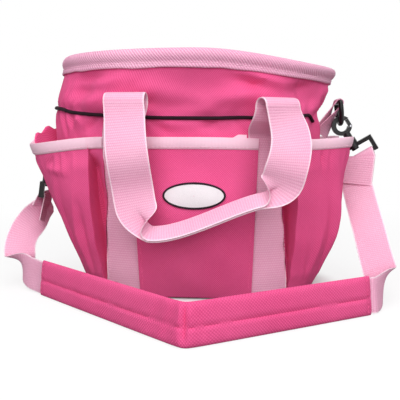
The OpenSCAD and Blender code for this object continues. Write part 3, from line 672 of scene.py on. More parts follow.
def pleat_wall(side, place, z):
    """How far the visible wall of a pleat's groove stands off the body, place metres past the leg's edge."""
    over, crease, depth = (by_height(z, PLEATS[side][key]) for key in ("over", "crease", "depth"))
    share = np.clip((place + over) / (over + crease), 0, 1)
    return mix(wall_start(side, z), -depth, share)


def front_turn(x, z):
    """Degrees round the skin from the side seam to the point of the front at x."""
    reach = np.clip(np.abs(x - lean(z)) / half_w(z), 0, 1)
    return np.degrees(np.arccos(reach ** (oval(z) / 2)))


def leg_turn(side, z):
    return front_turn(side * (LEG_X + WEB_W / 2 + SEAM_GAP), z)


def pleat_place(side, turn, z):
    at_leg = leg_turn(side, np.minimum(z, POCKET_H))
    return (at_leg - turn) / (at_leg - SEAM_TURN) * POCKET_ARC


def pleat_dent(t, z):
    """How far the body cloth is pushed in behind the pleats' grooves."""
    dent = 0
    for side in (LEFT, RIGHT):
        turn = np.abs(angle_from(t, 180 if side == LEFT else 0))
        place = pleat_place(side, turn, z)
        over, crease, depth = (by_height(z, PLEATS[side][key]) for key in ("over", "crease", "depth"))
        wall = pleat_wall(side, place, z) - DENT_CLEAR
        wall = wall * ease((crease + GROOVE_BACK - place) / GROOVE_BACK)
        start = ease(place / DENT_START + 1 + over / DENT_START)
        dent = dent + np.where((depth > GROOVE_LEAST) & (wall < 0), wall, 0) * start
    return dent


# Body cloth: two halves that meet at the side seams, bloused over the cord and draped to the rim
WALL_TOP = HOOP_Z - HOOP_D / 2 - SEAM_GAP
ROUND_STEPS, RISE_STEPS = 150, 72
ARC_PER_DEGREE = 2.2 * MM
# Above the cord the collar blouses, less at the left, and wrinkles. Below it the collar gathers
BLOUSE, BLOUSE_RISE, BLOUSE_SPREAD = 3.5 * MM, 11 * MM, 12 * MM
FLAT_LEFT_SHARE, FLAT_LEFT_TURN = 0.9, 42
CORD_PINCH, PINCH_SPREAD = 1.4 * MM, 3.5 * MM
GATHER, GATHER_SPREAD, GATHER_COUNT, GATHER_SLANT = 3.6 * MM, 11 * MM, 25, 260
WRINKLE, WRINKLE_SPREAD, WRINKLE_COUNT, WRINKLE_SLANT = 0.45 * GATHER, 9 * MM, 41, -420
WRINKLE_RISE = 6 * MM
# The folds start above the pockets' seams and end under the rim tape
FOLDS_LOW, FOLDS_LOW_RUN = POCKET_H - 10 * MM, 12 * MM
FOLDS_HIGH, FOLDS_HIGH_RUN = RIM_LOW + 6 * MM, 16 * MM
FOLD_TIP_SHARE = 0.08
SIDE_TUCK, TUCK_TURN, TUCK_SPREAD = 10 * MM, 24, 16 * MM
# The legs and tapes hold the cloth back just above the pockets
HELD_STAND, FREE_STAND, HELD_RISE = 0.3 * MM, 12 * MM, 32 * MM
# Uneven ripples: how far the waves bend and swell, how often in a turn and from what start
RIPPLE_BENDS, RIPPLE_SWELL = [(0.08, 5, 0.6), (0.05, 11, 2.1)], (0.35, 3, 1.3)
# Each fold of the collar: angle and height of its two ends, its width and how far it stands out
COLLAR_FOLDS = [
    (274, 188 * MM, 297, 204 * MM, 8 * MM, 7.5 * MM),
    (284, 214 * MM, 299, 206 * MM, 6 * MM, -6.5 * MM),
    (282, 219 * MM, 311, 213 * MM, 5 * MM, 5.0 * MM),
    (305, 201 * MM, 332, 220 * MM, 7 * MM, -6.0 * MM),
    (308, 195 * MM, 340, 203 * MM, 11 * MM, -8.0 * MM),
    (334, 206 * MM, 352, 216 * MM, 7 * MM, 3.5 * MM),
    (228, 203 * MM, 250, 211 * MM, 7 * MM, 4.5 * MM),
    (228, 187 * MM, 246, 195 * MM, 7 * MM, 4.5 * MM),
    (214, 213 * MM, 240, 214 * MM, 5 * MM, -6.0 * MM),
    (216, 201 * MM, 238, 200 * MM, 6 * MM, -7.5 * MM),
    (252, 207 * MM, 272, 193 * MM, 8 * MM, 4.0 * MM),
    (256, 188 * MM, 267, 186 * MM, 7 * MM, -5.0 * MM),
    (232, 177 * MM, 222, 157 * MM, 4 * MM, 4.0 * MM),
    (241, 177 * MM, 233, 160 * MM, 3 * MM, -4.5 * MM),
    (263, 174 * MM, 270, 155 * MM, 3.5 * MM, -5.5 * MM),
    (278, 174 * MM, 271, 160 * MM, 3 * MM, -4.0 * MM),
    (280, 175 * MM, 283, 158 * MM, 3.5 * MM, -4.0 * MM),
    (318, 178 * MM, 326, 160 * MM, 4 * MM, 3.5 * MM),
    (20, 190 * MM, 52, 212 * MM, 9 * MM, 5.5 * MM),
    (60, 214 * MM, 84, 192 * MM, 8 * MM, -4.0 * MM),
    (96, 188 * MM, 128, 213 * MM, 9 * MM, 6.0 * MM),
    (138, 212 * MM, 160, 190 * MM, 8 * MM, 4.5 * MM),
]


def cord_height(t):
    return CORD_Z + CORD_RISE * cos_deg(t) ** 2


def fold_ridge(t, z, fold):
    t0, z0, t1, z1, width, height = fold
    run = np.array([(t1 - t0) * ARC_PER_DEGREE, z1 - z0])
    return ridge((t - t0) * ARC_PER_DEGREE, z - z0, run, width, height, FOLD_TIP_SHARE)


def uneven_ripple(s, count):
    """A ripple from -1 to 1, about count waves over 360 degrees, no two alike."""
    turn = np.radians(s)
    bent = turn
    for reach, often, start in RIPPLE_BENDS:
        bent = bent + reach * np.sin(often * turn + start)
    reach, often, start = RIPPLE_SWELL
    return np.sin(count * bent) * (1 - reach + reach * np.sin(often * turn + start))


def side_tuck(t, z):
    """How far the cloth is drawn in at the right end of the cord."""
    return -SIDE_TUCK * bell(angle_from(t, 0), TUCK_TURN) * bell(z - CORD_TOP, TUCK_SPREAD)


def collar_stand(t, z):
    """How far the collar's cloth stands off the skin. The back gathers mirror the front ones."""
    above = z - cord_height(t)
    folds = sum(fold_ridge(t, z, fold) for fold in COLLAR_FOLDS)
    blouse = BLOUSE * bell(above - BLOUSE_RISE, BLOUSE_SPREAD)
    blouse = blouse * (1 - FLAT_LEFT_SHARE * bell(angle_from(t, 180), FLAT_LEFT_TURN))
    pinch = -CORD_PINCH * bell(above, PINCH_SPREAD)
    front_t = np.where(t % 360 < 180, 360 - t % 360, t % 360)
    gathers = uneven_ripple(front_t + GATHER_SLANT * above, GATHER_COUNT)
    gathers = GATHER * gathers * bell(above + GATHER_SPREAD, GATHER_SPREAD)
    wrinkles = uneven_ripple(front_t + WRINKLE_SLANT * above, WRINKLE_COUNT)
    wrinkles = WRINKLE * wrinkles * bell(above - WRINKLE_RISE, WRINKLE_SPREAD)
    free = ease((z - FOLDS_LOW) / FOLDS_LOW_RUN) * ease((FOLDS_HIGH - z) / FOLDS_HIGH_RUN)
    stand = free * (folds + blouse + pinch + gathers + wrinkles + side_tuck(t, z))
    return np.minimum(stand, HELD_STAND + FREE_STAND * ease((z - POCKET_H - SLIP_RISE) / HELD_RISE))


def make_body(name, start, node):
    t = start + np.linspace(0, 180, ROUND_STEPS + 1)[:, None]
    z = np.linspace(CLOTH_T, WALL_TOP, RISE_STEPS + 1)[None, :]
    stand = collar_stand(t, z) + pleat_dent(t, z)
    piece = shell(name, skin(t, z, stand), skin(t, z, stand - CLOTH_T), CLOTH)
    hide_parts(node)
    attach(piece, "bag")


make_body("front_cloth", 180, "body_front")
make_body("back_cloth", 0, "body_back")


# Rim tape: rolled over the hoop, pinched by its stitches, with a flat edge below them
RIM_STEPS = 260
RIM_SEAM_H = 5.2 * MM
RIM_WAVE, RIM_WAVES = 0.5 * MM, 17
# Places as (off the hoop's line, above the tape's lower edge), for the tape's outer half and its stitches
RIM_PROFILE = np.array([[2.5, 0], [3.2, 1.0], [3.0, 3.0], [2.3, 5.2], [3.6, 7.2], [4.7, 9.5], [5.2, 12],
                        [4.7, 14.6], [3.4, 16.8], [1.7, 17.8]]) * MM
RIM_STITCHES = np.array([[2.75, 4.4], [3.75, 4.4]]) * MM
RIM_CREST = 5


def rim_rings(t, profile):
    wave_z = RIM_WAVE * uneven_ripple(t, RIM_WAVES)
    off = profile[:, 0][None, :] - CLOTH_T / 2
    drop = wave_z[:, None] * (1 - ease(profile[:, 1] / RIM_SEAM_H))[None, :]
    return skin(t[:, None], RIM_LOW + profile[:, 1][None, :] + drop, off)


def make_rim():
    t = np.arange(RIM_STEPS) * 360 / RIM_STEPS
    inside = RIM_PROFILE[::-1] * np.array([-1, 1])
    profile = np.concatenate([RIM_PROFILE, inside])
    rings = rim_rings(t, profile)
    along = round_lengths(rings[:, RIM_CREST])
    around = round_lengths(profile)
    piece = sweep("rim_roll", rings, points(along[:, None], around[None, :]), RIM_TAPE, loop=True)
    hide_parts("rim_binding")
    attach(piece, "bag")
    line = rim_rings(np.linspace(0, 360, RIM_STEPS + 1), RIM_STITCHES)
    sewing = stitches("rim_stitches", [(line[:, 0], line[:, 1] - line[:, 0])], PALE_THREAD)
    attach(sewing, "bag")


make_rim()


# Elastic cord that gathers the collar
CORD_STEPS, CORD_SIDES = 280, 10
CORD_SWAY, CORD_WAVES = 0.8 * MM, 9
# At the right the cord turns down and goes in through holes on either side of the seam
HOLE_TURN, HOLE_DROP, HOLE_TUCK = 29, 8 * MM, 7 * MM
DROP_TURN, DROP_RUN, TUCK_RUN = HOLE_TURN + 8, 9, 5
# How far the cord's middle stays off the cloth where a fold lifts it
CORD_OVER = 1.2 * MM


def make_cord():
    t = np.arange(CORD_STEPS)[:, None] * 360 / CORD_STEPS
    a = np.arange(CORD_SIDES)[None, :] * 360 / CORD_SIDES
    r = CORD_D / 2
    to_hole = np.abs(angle_from(t, 0))
    sway = CORD_SWAY * uneven_ripple(t, CORD_WAVES) - HOLE_DROP * ease((DROP_TURN - to_hole) / DROP_RUN)
    z = cord_height(t) + sway
    off = r + SEAM_GAP - CORD_PINCH / 2 + side_tuck(t, cord_height(t))
    inside = ease((HOLE_TURN - to_hole) / TUCK_RUN)
    off = mix(np.maximum(off, collar_stand(t, z) + CORD_OVER), off - HOLE_TUCK, inside)
    rings = skin(t, z - r * sin_deg(a), off + r * cos_deg(a))
    along = round_lengths(rings[:, 0])
    around = np.arange(CORD_SIDES + 1) * math.tau * r / CORD_SIDES
    cloth_map = points(along[:, None], around[None, :])
    piece = sweep("gathering_cord", rings, cloth_map, ELASTIC, loop=True)
    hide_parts("elastic_cord")
    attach(piece, "bag")


make_cord()


# Base cloth under the board
BASE_RINGS = 24
HUB_SHARE = 0.02
BASE_ROUNDING, ROUNDING_SHARE = 0.6 * MM, 0.04


def make_base():
    t = np.arange(ROUND_STEPS)[:, None] * 360 / ROUND_STEPS
    share = np.linspace(HUB_SHARE, 1, BASE_RINGS)[None, :]
    x = share * BASE_W / 2 * signed_power(cos_deg(t), 2 / PLAN_POWER)
    y = share * BASE_D / 2 * signed_power(sin_deg(t), 2 / PLAN_POWER)
    rounding = BASE_ROUNDING * ease((share - 1 + ROUNDING_SHARE) / ROUNDING_SHARE)
    piece = shell("base_cloth", points(x, y, rounding), points(x, y, CLOTH_T), CLOTH, loop=True)
    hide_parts("base_panel")
    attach(piece, "bag")


make_base()


# Corner pockets: flared bags of cloth with a deep pleat beside each webbing leg
GROOVE_STEPS, RETURN_STEPS, FACE_STEPS, POCKET_RISE = 14, 9, 64, 56
FLARE_PLACE_SHARE, FLARE_ROUND_SHARE = 1.6, 1.2
BELLY_SHARE = {LEFT: 1.3, RIGHT: 0.7}
IN_GROOVE, ON_RETURN, ON_FACE = 0, 1, 2
FACE_CROWDING = 1.25
STAND_RUN = 0.8 * POCKET_ARC
# Puckers hang from the mouth tape, and drapes slant across the middle
PUCKER, PUCKER_DROP, PUCKER_SPREAD, PUCKER_COUNTS = 1.5 * MM, 9 * MM, 11 * MM, {LEFT: 13, RIGHT: 11}
DRAPE, DRAPE_Z, DRAPE_SPREAD = 2.0 * MM, 62 * MM, 45 * MM
DRAPE_COUNT, DRAPE_TURN, DRAPE_SLANT = 9, 200, 300
# Wrinkles fade toward the pleat, the side seam, the foot and the tape: shares along the pocket, and heights
CALM_PLEAT, CALM_PLEAT_RUN, CALM_SEAM_RUN = 0.12, 0.16, 0.14
CALM_FOOT, CALM_TAPE = 20 * MM, 6 * MM
CREASE_TIP_SHARE = 0.1
# Each crease of a corner pocket: share along and height of its two ends, its width and depth
POCKET_CREASES = {
    LEFT: [(0.42, 137 * MM, 0.52, 126 * MM, 3 * MM, -3.4 * MM),
           (0.30, 122 * MM, 0.50, 126 * MM, 3.5 * MM, 2.6 * MM),
           (0.24, 90 * MM, 0.20, 14 * MM, 5 * MM, -3.4 * MM),
           (0.34, 78 * MM, 0.30, 10 * MM, 6 * MM, 2.8 * MM)],
    RIGHT: [(0.52, 140 * MM, 0.60, 20 * MM, 5 * MM, 2.8 * MM),
            (0.74, 120 * MM, 0.66, 20 * MM, 4 * MM, -2.6 * MM),
            (0.40, 80 * MM, 0.34, 8 * MM, 6 * MM, 2.4 * MM)],
}
# Fuller lower down on the right, where the empty pocket slumps
SLUMP = {LEFT: 0 * MM, RIGHT: 6 * MM}
POCKET_SLUMP_Z, POCKET_SLUMP_SPREAD = 70 * MM, 40 * MM
SLUMP_PLACE_SHARE, SLUMP_REACH_SHARE = 0.6, 0.3
# The left mouths rise to the side seam, where the slack cloth shows above the tape
SEAM_RISE, SEAM_LIP = {LEFT: 6 * MM, RIGHT: 0 * MM}, {LEFT: 5 * MM, RIGHT: 0 * MM}
SEAM_RISE_START, SEAM_RISE_RUN = 0.72, 0.2
# The slack cloth lies inside the tape and waves, from these shares along the pocket
LIP_STARTS, LIP_RUN, LINING_IN = {FRONT: 0.74, BACK: 0.3}, 0.1, 1.8 * MM
LIP_WAVE_SHARE, LIP_WAVES = 0.5, 64
LINING_DROP, LINING_RUN = 1.5 * TAPE_H, 0.4 * TAPE_H


def pocket_bump(u):
    return np.maximum(0, sin_deg(180 * u ** FLARE_PLACE_SHARE)) ** FLARE_ROUND_SHARE


def pocket_top(side, u):
    seam_rise = SEAM_RISE[side] * ease((u - SEAM_RISE_START) / SEAM_RISE_RUN)
    return POCKET_H + MOUTH_RISE[side] * pocket_bump(u) + seam_rise


def pocket_steps():
    """Places along a pocket from the leg, as (part, share of it): the groove, its return and the face."""
    groove = [(IN_GROOVE, s) for s in np.linspace(0, 1, GROOVE_STEPS, endpoint=False)]
    back = [(ON_RETURN, s) for s in np.linspace(0, 1, RETURN_STEPS, endpoint=False)]
    face = [(ON_FACE, s ** FACE_CROWDING) for s in np.linspace(0, 1, FACE_STEPS + 1)]
    return np.array(groove + back + face)


def pocket_wrinkles(side, u, z):
    below = pocket_top(side, u) - TAPE_H - z
    puckers = PUCKER * uneven_ripple(360 * u, PUCKER_COUNTS[side]) * bell(below - PUCKER_DROP, PUCKER_SPREAD)
    drapes = DRAPE * uneven_ripple(DRAPE_TURN * u + DRAPE_SLANT * z, DRAPE_COUNT)
    drapes = drapes * bell(z - DRAPE_Z, DRAPE_SPREAD)
    slump = SLUMP[side] * bell(z - POCKET_SLUMP_Z, POCKET_SLUMP_SPREAD)
    slump = slump * bell(u - SLUMP_PLACE_SHARE, SLUMP_REACH_SHARE)
    creases = 0
    for u0, z0, u1, z1, width, depth in POCKET_CREASES[side]:
        run = np.array([(u1 - u0) * POCKET_ARC, z1 - z0])
        creases = creases + ridge((u - u0) * POCKET_ARC, z - z0, run, width, depth, CREASE_TIP_SHARE)
    along = ease((u - CALM_PLEAT) / CALM_PLEAT_RUN) * ease((1 - u) / CALM_SEAM_RUN)
    return along * ease(z / CALM_FOOT) * ease(below / CALM_TAPE) * (puckers + drapes + creases + slump)


def pocket_point(side, part, share, z, off):
    """The point at a share of one of a pocket's parts, at height z, off metres from its inner face."""
    over, crease, under, stand, depth = (by_height(z, PLEATS[side][key])
                                         for key in ("over", "crease", "under", "stand", "depth"))
    place = np.where(part == IN_GROOVE, mix(-over, crease + under, share), np.where(
        part == ON_RETURN, crease + under * (1 - ease(share)), mix(crease, POCKET_ARC, share)))
    u = place / POCKET_ARC
    flare = FLARE[side] * pocket_bump(np.maximum(u, 0))
    flare = flare * (z / POCKET_H) ** BELLY_SHARE[side]
    face = flare + stand * (1 - ease((place - crease) / STAND_RUN)) + pocket_wrinkles(side, u, z)
    raised = np.where(part == IN_GROOVE, np.where(place < crease, pleat_wall(side, place, z), -depth),
                      np.where(part == ON_RETURN, mix(-depth, flare + stand, ease(share)), face))
    turn = mix(leg_turn(side, z), SEAM_TURN, u)
    t = 180 + turn if side == LEFT else 360 - turn
    return skin(t, z, raised + SEAM_GAP + off)


# The tape's section: places round it as (off the cloth's inner face, below the top edge)
TAPE_SECTION = np.array([[1.6, 11.2], [2.5, 10.2], [2.7, 6.0], [2.5, 2.0], [1.9, 0.2],
                         [0.7, 0.0], [0.0, 1.0], [-0.2, 6.0], [-0.1, 10.2], [0.3, 11.2]]) * MM
TAPE_STITCH_DROP, TAPE_STITCH_OFF = 9.2 * MM, 2.55 * MM
TAPE_CREST, TAPE_OUT = 2, 1 * MM
TAPE_BEND_RUN = 0.05


def make_tape(name, steps, place, face, node):
    """A folded tape along a pocket's top. place(s, drop, off) is the point at share s, below the top edge."""
    s = np.linspace(0, 1, steps + 1)[:, None]
    rings = place(s, TAPE_SECTION[:, 1][None, :], TAPE_SECTION[:, 0][None, :])
    line = np.linspace(0, 1, steps + 1)
    sew = place(line, TAPE_STITCH_DROP, TAPE_STITCH_OFF)
    out = place(line, TAPE_STITCH_DROP, TAPE_STITCH_OFF + TAPE_OUT) - sew
    rings, sew, out = on_face(face, rings, sew, out)
    along = run_lengths(rings[:, TAPE_CREST])
    around = round_lengths(TAPE_SECTION) - TAPE_H
    piece = sweep(name, rings, points(along[:, None], around[None, :]), TAPE)
    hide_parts(node)
    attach(piece, "bag")
    sewing = stitches(name + "_stitches", [(sew, out)], PALE_THREAD)
    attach(sewing, "bag")


def make_corner_pocket(side, face):
    words = FACE_WORDS[face] + "_" + SIDE_WORDS[side]
    steps = pocket_steps()
    part, share = steps[:, :1], steps[:, 1:]
    u = np.where(part == ON_FACE, mix(PLEATS[side]["crease"][-1] / POCKET_ARC, 1, share), 0)
    slack = ease((u - LIP_STARTS[face]) / LIP_RUN) * np.sign(SEAM_LIP[side])
    lip = slack * (TAPE_H / 2 + SEAM_LIP[side] * (1 + LIP_WAVE_SHARE * np.sin(LIP_WAVES * u)))
    z = mix(POCKET_LOW, pocket_top(side, u) - TAPE_H / 2 + lip, np.linspace(0, 1, POCKET_RISE + 1)[None, :])
    lining = -LINING_IN * slack * ease((z - pocket_top(side, u) + LINING_DROP) / LINING_RUN)
    outer, inner = on_face(face, pocket_point(side, part, share, z, POCKET_T + lining),
                           pocket_point(side, part, share, z, lining))
    piece = shell(words + "_pouch", outer, inner, CLOTH)
    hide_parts(words + "_pocket")
    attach(piece, "bag")

    def place(s, drop, off):
        crease = PLEATS[side]["crease"][-1] / POCKET_ARC
        part = np.where(s < crease, IN_GROOVE, ON_FACE)
        share = np.where(s < crease, s / crease, (s - crease) / (1 - crease))
        bend = PLEATS[side]["stand"][-1] * ease((s - crease) / TAPE_BEND_RUN + 1) * (s < crease)
        return pocket_point(side, part, share, pocket_top(side, s) - drop, off + bend)
    make_tape(words + "_mouth_tape", FACE_STEPS, place, face, words + "_pocket_tape")


for pocket_side in (LEFT, RIGHT):
    for pocket_face in (FRONT, BACK):
        make_corner_pocket(pocket_side, pocket_face)


# Flat pockets between the legs
FLAT_BELLY_SHARE = 1.2
FLAT_SLUMP, SLUMP_Z, SLUMP_SPREAD = 15 * MM, 84 * MM, 34 * MM
FLAT_STEPS, FLAT_RISE = 64, 44
FLAT_FOOT_SHARE = 0.9
FLAT_RIPPLE, RIPPLE_X, RIPPLE_Z, RIPPLE_UP = 0.8 * MM, 11 * MM, 17 * MM, 13 * MM
RIPPLE_START = 0.7
FLAT_SEAM_SHARES, FLAT_SEAM_LOW, FLAT_SEAM_LIFT = (0.03, 0.97), 6 * MM, 0.15 * MM
FLAT_SEAM_POINTS = 60
# The slip pocket's mouth sags behind the front one, but for its right corner
SLIP_SAG, SLIP_CORNER, CORNER_RUN = 3.5 * MM, 0.93, 0.08


def flat_stand(x, z):
    bow = 1 - np.clip(2 * np.abs(x) / FLAT_POCKET_W, 0, 1) ** 2
    ripple = FLAT_RIPPLE * np.sin(x / RIPPLE_X + z / RIPPLE_Z) * np.sin(z / RIPPLE_UP + RIPPLE_START) * bow
    curl = np.where(z < SLUMP_Z, 1 - (1 - z / SLUMP_Z) ** 2, bell(z - SLUMP_Z, SLUMP_SPREAD))
    slump = FLAT_SLUMP * bow * curl
    return OVER_LEG + FLAT_BELLY * bow * (z / POCKET_H) ** FLAT_BELLY_SHARE + slump + ripple


def flat_point(x, z, off, bowed):
    return front_skin(x, z, off + (flat_stand(x, z) if bowed else SEAM_GAP))


def flat_across(width, s, z, bowed):
    taper = mix(FLAT_FOOT_SHARE, 1, z / POCKET_H) if bowed else 1
    return width * (s - 0.5) * taper


def make_flat_pocket(words, face, width, top, bowed, node):
    def mouth(s):
        return top - (0 if bowed else SLIP_SAG * ease((SLIP_CORNER - s) / CORNER_RUN))

    s = np.linspace(0, 1, FLAT_STEPS + 1)[:, None]
    z = mix(POCKET_LOW, mouth(s) - TAPE_H / 2, np.linspace(0, 1, FLAT_RISE + 1)[None, :])
    x = flat_across(width, s, z, bowed)
    outer, inner = on_face(face, flat_point(x, z, POCKET_T, bowed), flat_point(x, z, 0, bowed))
    piece = shell(words, outer, inner, CLOTH)
    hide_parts(node)
    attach(piece, "bag")

    def place(s, drop, off):
        z = mouth(s) - drop
        return flat_point(flat_across(width, s, z, bowed), z, off, bowed)
    make_tape(words + "_tape", FLAT_STEPS, place, face, node + "_tape")
    if bowed:
        lines = []
        for edge in FLAT_SEAM_SHARES:
            rise = np.linspace(FLAT_SEAM_LOW, top - TAPE_H, FLAT_SEAM_POINTS)
            line = place(edge, top - rise, POCKET_T + FLAT_SEAM_LIFT)
            lines.append(on_face(face, line, np.broadcast_to(FORWARD, line.shape)))
        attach(stitches(words + "_stitches", lines, PINK_THREAD), "bag")


make_flat_pocket("front_pouch", FRONT, FLAT_POCKET_W, POCKET_H, True, "front_pocket")
make_flat_pocket("back_pouch", BACK, FLAT_POCKET_W, POCKET_H, True, "back_pocket")
make_flat_pocket("slip_pouch", FRONT, SLIP_W, POCKET_H + SLIP_RISE, False, "inner_front_pocket")


# Oval badge: a crowned face in a raised, closely stitched border
BADGE_STEPS, BADGE_RINGS, BORDER_SIDES = 96, 14, 10
BADGE_CROWN, BORDER_CROWN_SHARE = 1.2 * MM, 1.2


def badge_point(x, z, off):
    height = BADGE_Z + z
    return front_skin(x, height, flat_stand(x, height) + POCKET_T + SEAM_GAP + off)


def make_badge():
    t = np.arange(BADGE_STEPS)[:, None] * 360 / BADGE_STEPS
    share = np.linspace(HUB_SHARE, 1, BADGE_RINGS)[None, :]
    wide, high = BADGE_W / 2 - BADGE_EDGE / 2, BADGE_H / 2 - BADGE_EDGE / 2
    x, z = share * wide * cos_deg(t), share * high * sin_deg(t)
    crown = BADGE_T / 2 + BADGE_CROWN * (1 - share ** 2)
    face = shell("badge_oval", badge_point(x, z, crown), badge_point(x, z, 0), BADGE_CLOTH,
                 loop=True)
    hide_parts("badge")
    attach(face, "bag")
    a = np.arange(BORDER_SIDES)[None, :] * 360 / BORDER_SIDES
    out = BADGE_EDGE / 2 * cos_deg(a)
    rings = badge_point((wide + out) * cos_deg(t), (high + out) * sin_deg(t),
                        BADGE_T / 2 + BADGE_T / 2 * sin_deg(a) * BORDER_CROWN_SHARE)
    along = round_lengths(rings[:, 0])
    around = np.arange(BORDER_SIDES + 1) * math.tau * BADGE_EDGE / 2 / BORDER_SIDES
    cloth_map = points(along[:, None], around[None, :])
    edge = sweep("badge_rope", rings, cloth_map, BADGE_EDGE_THREAD, loop=True)
    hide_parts("badge_border")
    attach(edge, "bag")


make_badge()


# Webbing: each leg is sewn up the body, rises clear of the collar and folds over into its handle
RISER_Y = WAIST_D / 2 + RISER_GAP
FOLD_Y = RISER_Y + FOLD_R
HANDLE_Y = FOLD_Y + FOLD_R
LOOP_TWIST = {LEFT: -6, RIGHT: 34}
LEG_ROWS, RISER_ROWS, FOLD_ROWS = 30, 14, 16
RISER_HASTE = 1.6
WEB_SECTION = ribbon_section(WEB_W, WEB_T, steps=20)
WEB_MIDDLE = 10
LEG_STITCH_IN, LEG_SEAM_POINTS = 2.6 * MM, 80
LEG_SEAM_LOW, LEG_SEAM_TOP = 4 * MM, POCKET_H - 2 * MM
LEG_SAG, LEG_WAVE, LEG_WAVE_START = 0.5 * MM, 9 * MM, 0.6
LEG_SAG_Z, LEG_SAG_SPREAD = 80 * MM, 50 * MM


def fold_centre(side):
    return FOLD_H - FOLD_R - (FOLD_STEP if side == RIGHT else 0)


def fold_x(side):
    return side * LEG_X + HANDLE_SLUMP


def twist_loop(side, p, share):
    """Points turned about the upright line through the fold, by a share of that loop's twist."""
    turn = LOOP_TWIST[side] * share
    x, y = p[..., 0] - fold_x(side), p[..., 1] + FOLD_Y
    return points(fold_x(side) + x * cos_deg(turn) - y * sin_deg(turn),
                  -FOLD_Y + x * sin_deg(turn) + y * cos_deg(turn), p[..., 2])


def leg_row(side, z, across, off):
    ripple = LEG_SAG * np.sin(z / LEG_WAVE + LEG_WAVE_START * side) * bell(z - LEG_SAG_Z, LEG_SAG_SPREAD)
    turn = front_turn(side * (LEG_X + across), z)
    tucked = np.minimum(0, pleat_wall(side, pleat_place(side, turn, z), z) - wall_start(side, z))
    return skin(180 + turn if side == LEFT else 360 - turn, z, SEAM_GAP + WEB_T / 2 - off + ripple + tucked)


def riser_row(side, s, across, off):
    foot = leg_row(side, POCKET_H, across, off)
    x = mix(foot[..., 0], fold_x(side) + side * across, ease(s))
    y = mix(foot[..., 1], -RISER_Y + off, ease(RISER_HASTE * s))
    z = mix(foot[..., 2], fold_centre(side), s)
    return twist_loop(side, points(x, y, z), ease(s))


def fold_row(side, turn, across, off):
    y = -FOLD_Y + (FOLD_R + off) * cos_deg(turn)
    z = fold_centre(side) + (FOLD_R + off) * sin_deg(turn)
    return twist_loop(side, points(fold_x(side) + side * across, y, z), 1)


def make_leg(side, face):
    words = FACE_WORDS[face] + "_" + SIDE_WORDS[side]
    across, off = WEB_SECTION[None, :, 0], WEB_SECTION[None, :, 1]
    up = np.linspace(POCKET_LOW, POCKET_H, LEG_ROWS)[:, None]
    rise = (np.arange(1, RISER_ROWS + 1) / RISER_ROWS)[:, None]
    turn = np.linspace(0, 180, FOLD_ROWS + 1)[1:, None]
    rings = np.concatenate([leg_row(side, up, across, off), riser_row(side, rise, across, off),
                            fold_row(side, turn, across, off)])
    lines = []
    for edge in (-1, 1):
        sew_in = edge * (WEB_W / 2 - LEG_STITCH_IN)
        heights = np.linspace(LEG_SEAM_LOW, LEG_SEAM_TOP, LEG_SEAM_POINTS)
        line = leg_row(side, heights, sew_in, -WEB_T / 2 - STITCH_LIFT)
        lines.append(on_face(face, line, np.broadcast_to(FORWARD, line.shape)))
    way = np.array([sin_deg(LOOP_TWIST[side]), -cos_deg(LOOP_TWIST[side]), 0])
    centre = np.array([fold_x(side), -FOLD_Y, fold_centre(side)])
    rings, way, centre = on_face(face, rings, way, centre)
    along = run_lengths(rings[:, WEB_MIDDLE])
    piece = sweep(words + "_webbing", rings, ribbon_map(along, WEB_SECTION), WEBBING)
    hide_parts(words + "_leg")
    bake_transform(piece)
    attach(stitches(words + "_webbing_stitches", lines, PALE_THREAD), "bag")


# Handles: two drops and a grip, where the inner half of the webbing folds over the outer
DROP_ROWS, GRIP_ROWS = 44, 40
UNTWIST_RUN = 62 * MM
FOLD_IN_SHARE = 0.6
FLAP_GAP, FLAP_RISE, FLAP_STAND_SHARE = 0.7 * MM, 2 * MM, 0.55
GRIP_TILT = -48
DROP_BOW, GRIP_BOW = 14 * MM, 9 * MM
DROP_BOW_SHARE, GRIP_BOW_SHARE, GRIP_BOW_RUN_SHARE = 0.62, 0.35, 0.3
SQUARE_RUN = 24 * MM
LEFT_KNOT = np.array([HANDLE_SLUMP + GRIP_SHIFT - GRIP_L / 2, GRIP_LOW])
RIGHT_KNOT = np.array([HANDLE_SLUMP + GRIP_SHIFT + GRIP_L / 2, GRIP_HIGH])
# How far the inner points of each curve are pulled
LEFT_DROP_PULL, LEFT_KNOT_PULL = 6 * MM, np.array([-16, 8]) * MM
RIGHT_DROP_PULL, RIGHT_KNOT_PULL = 12 * MM, np.array([27, 3]) * MM
GRIP_LEFT_PULL, GRIP_RIGHT_PULL = np.array([26, -3]) * MM, np.array([-26, -6]) * MM
LEFT_DROP = np.array([[fold_x(LEFT), fold_centre(LEFT)],
                      [fold_x(LEFT) + LEFT_DROP_PULL, mix(fold_centre(LEFT), GRIP_LOW, 0.5)],
                      LEFT_KNOT + LEFT_KNOT_PULL, LEFT_KNOT])
GRIP_RUN = np.array([LEFT_KNOT, LEFT_KNOT + GRIP_LEFT_PULL, RIGHT_KNOT + GRIP_RIGHT_PULL, RIGHT_KNOT])
RIGHT_DROP = np.array([RIGHT_KNOT, RIGHT_KNOT + RIGHT_KNOT_PULL,
                       [fold_x(RIGHT) + RIGHT_DROP_PULL, mix(GRIP_HIGH, fold_centre(RIGHT), 0.5)],
                       [fold_x(RIGHT), fold_centre(RIGHT)]])


def bezier(ends, s):
    s = np.asarray(s)[:, None]
    a, b, c, d = ends
    return (1 - s) ** 3 * a + 3 * s * (1 - s) ** 2 * b + 3 * s * s * (1 - s) * c + s ** 3 * d


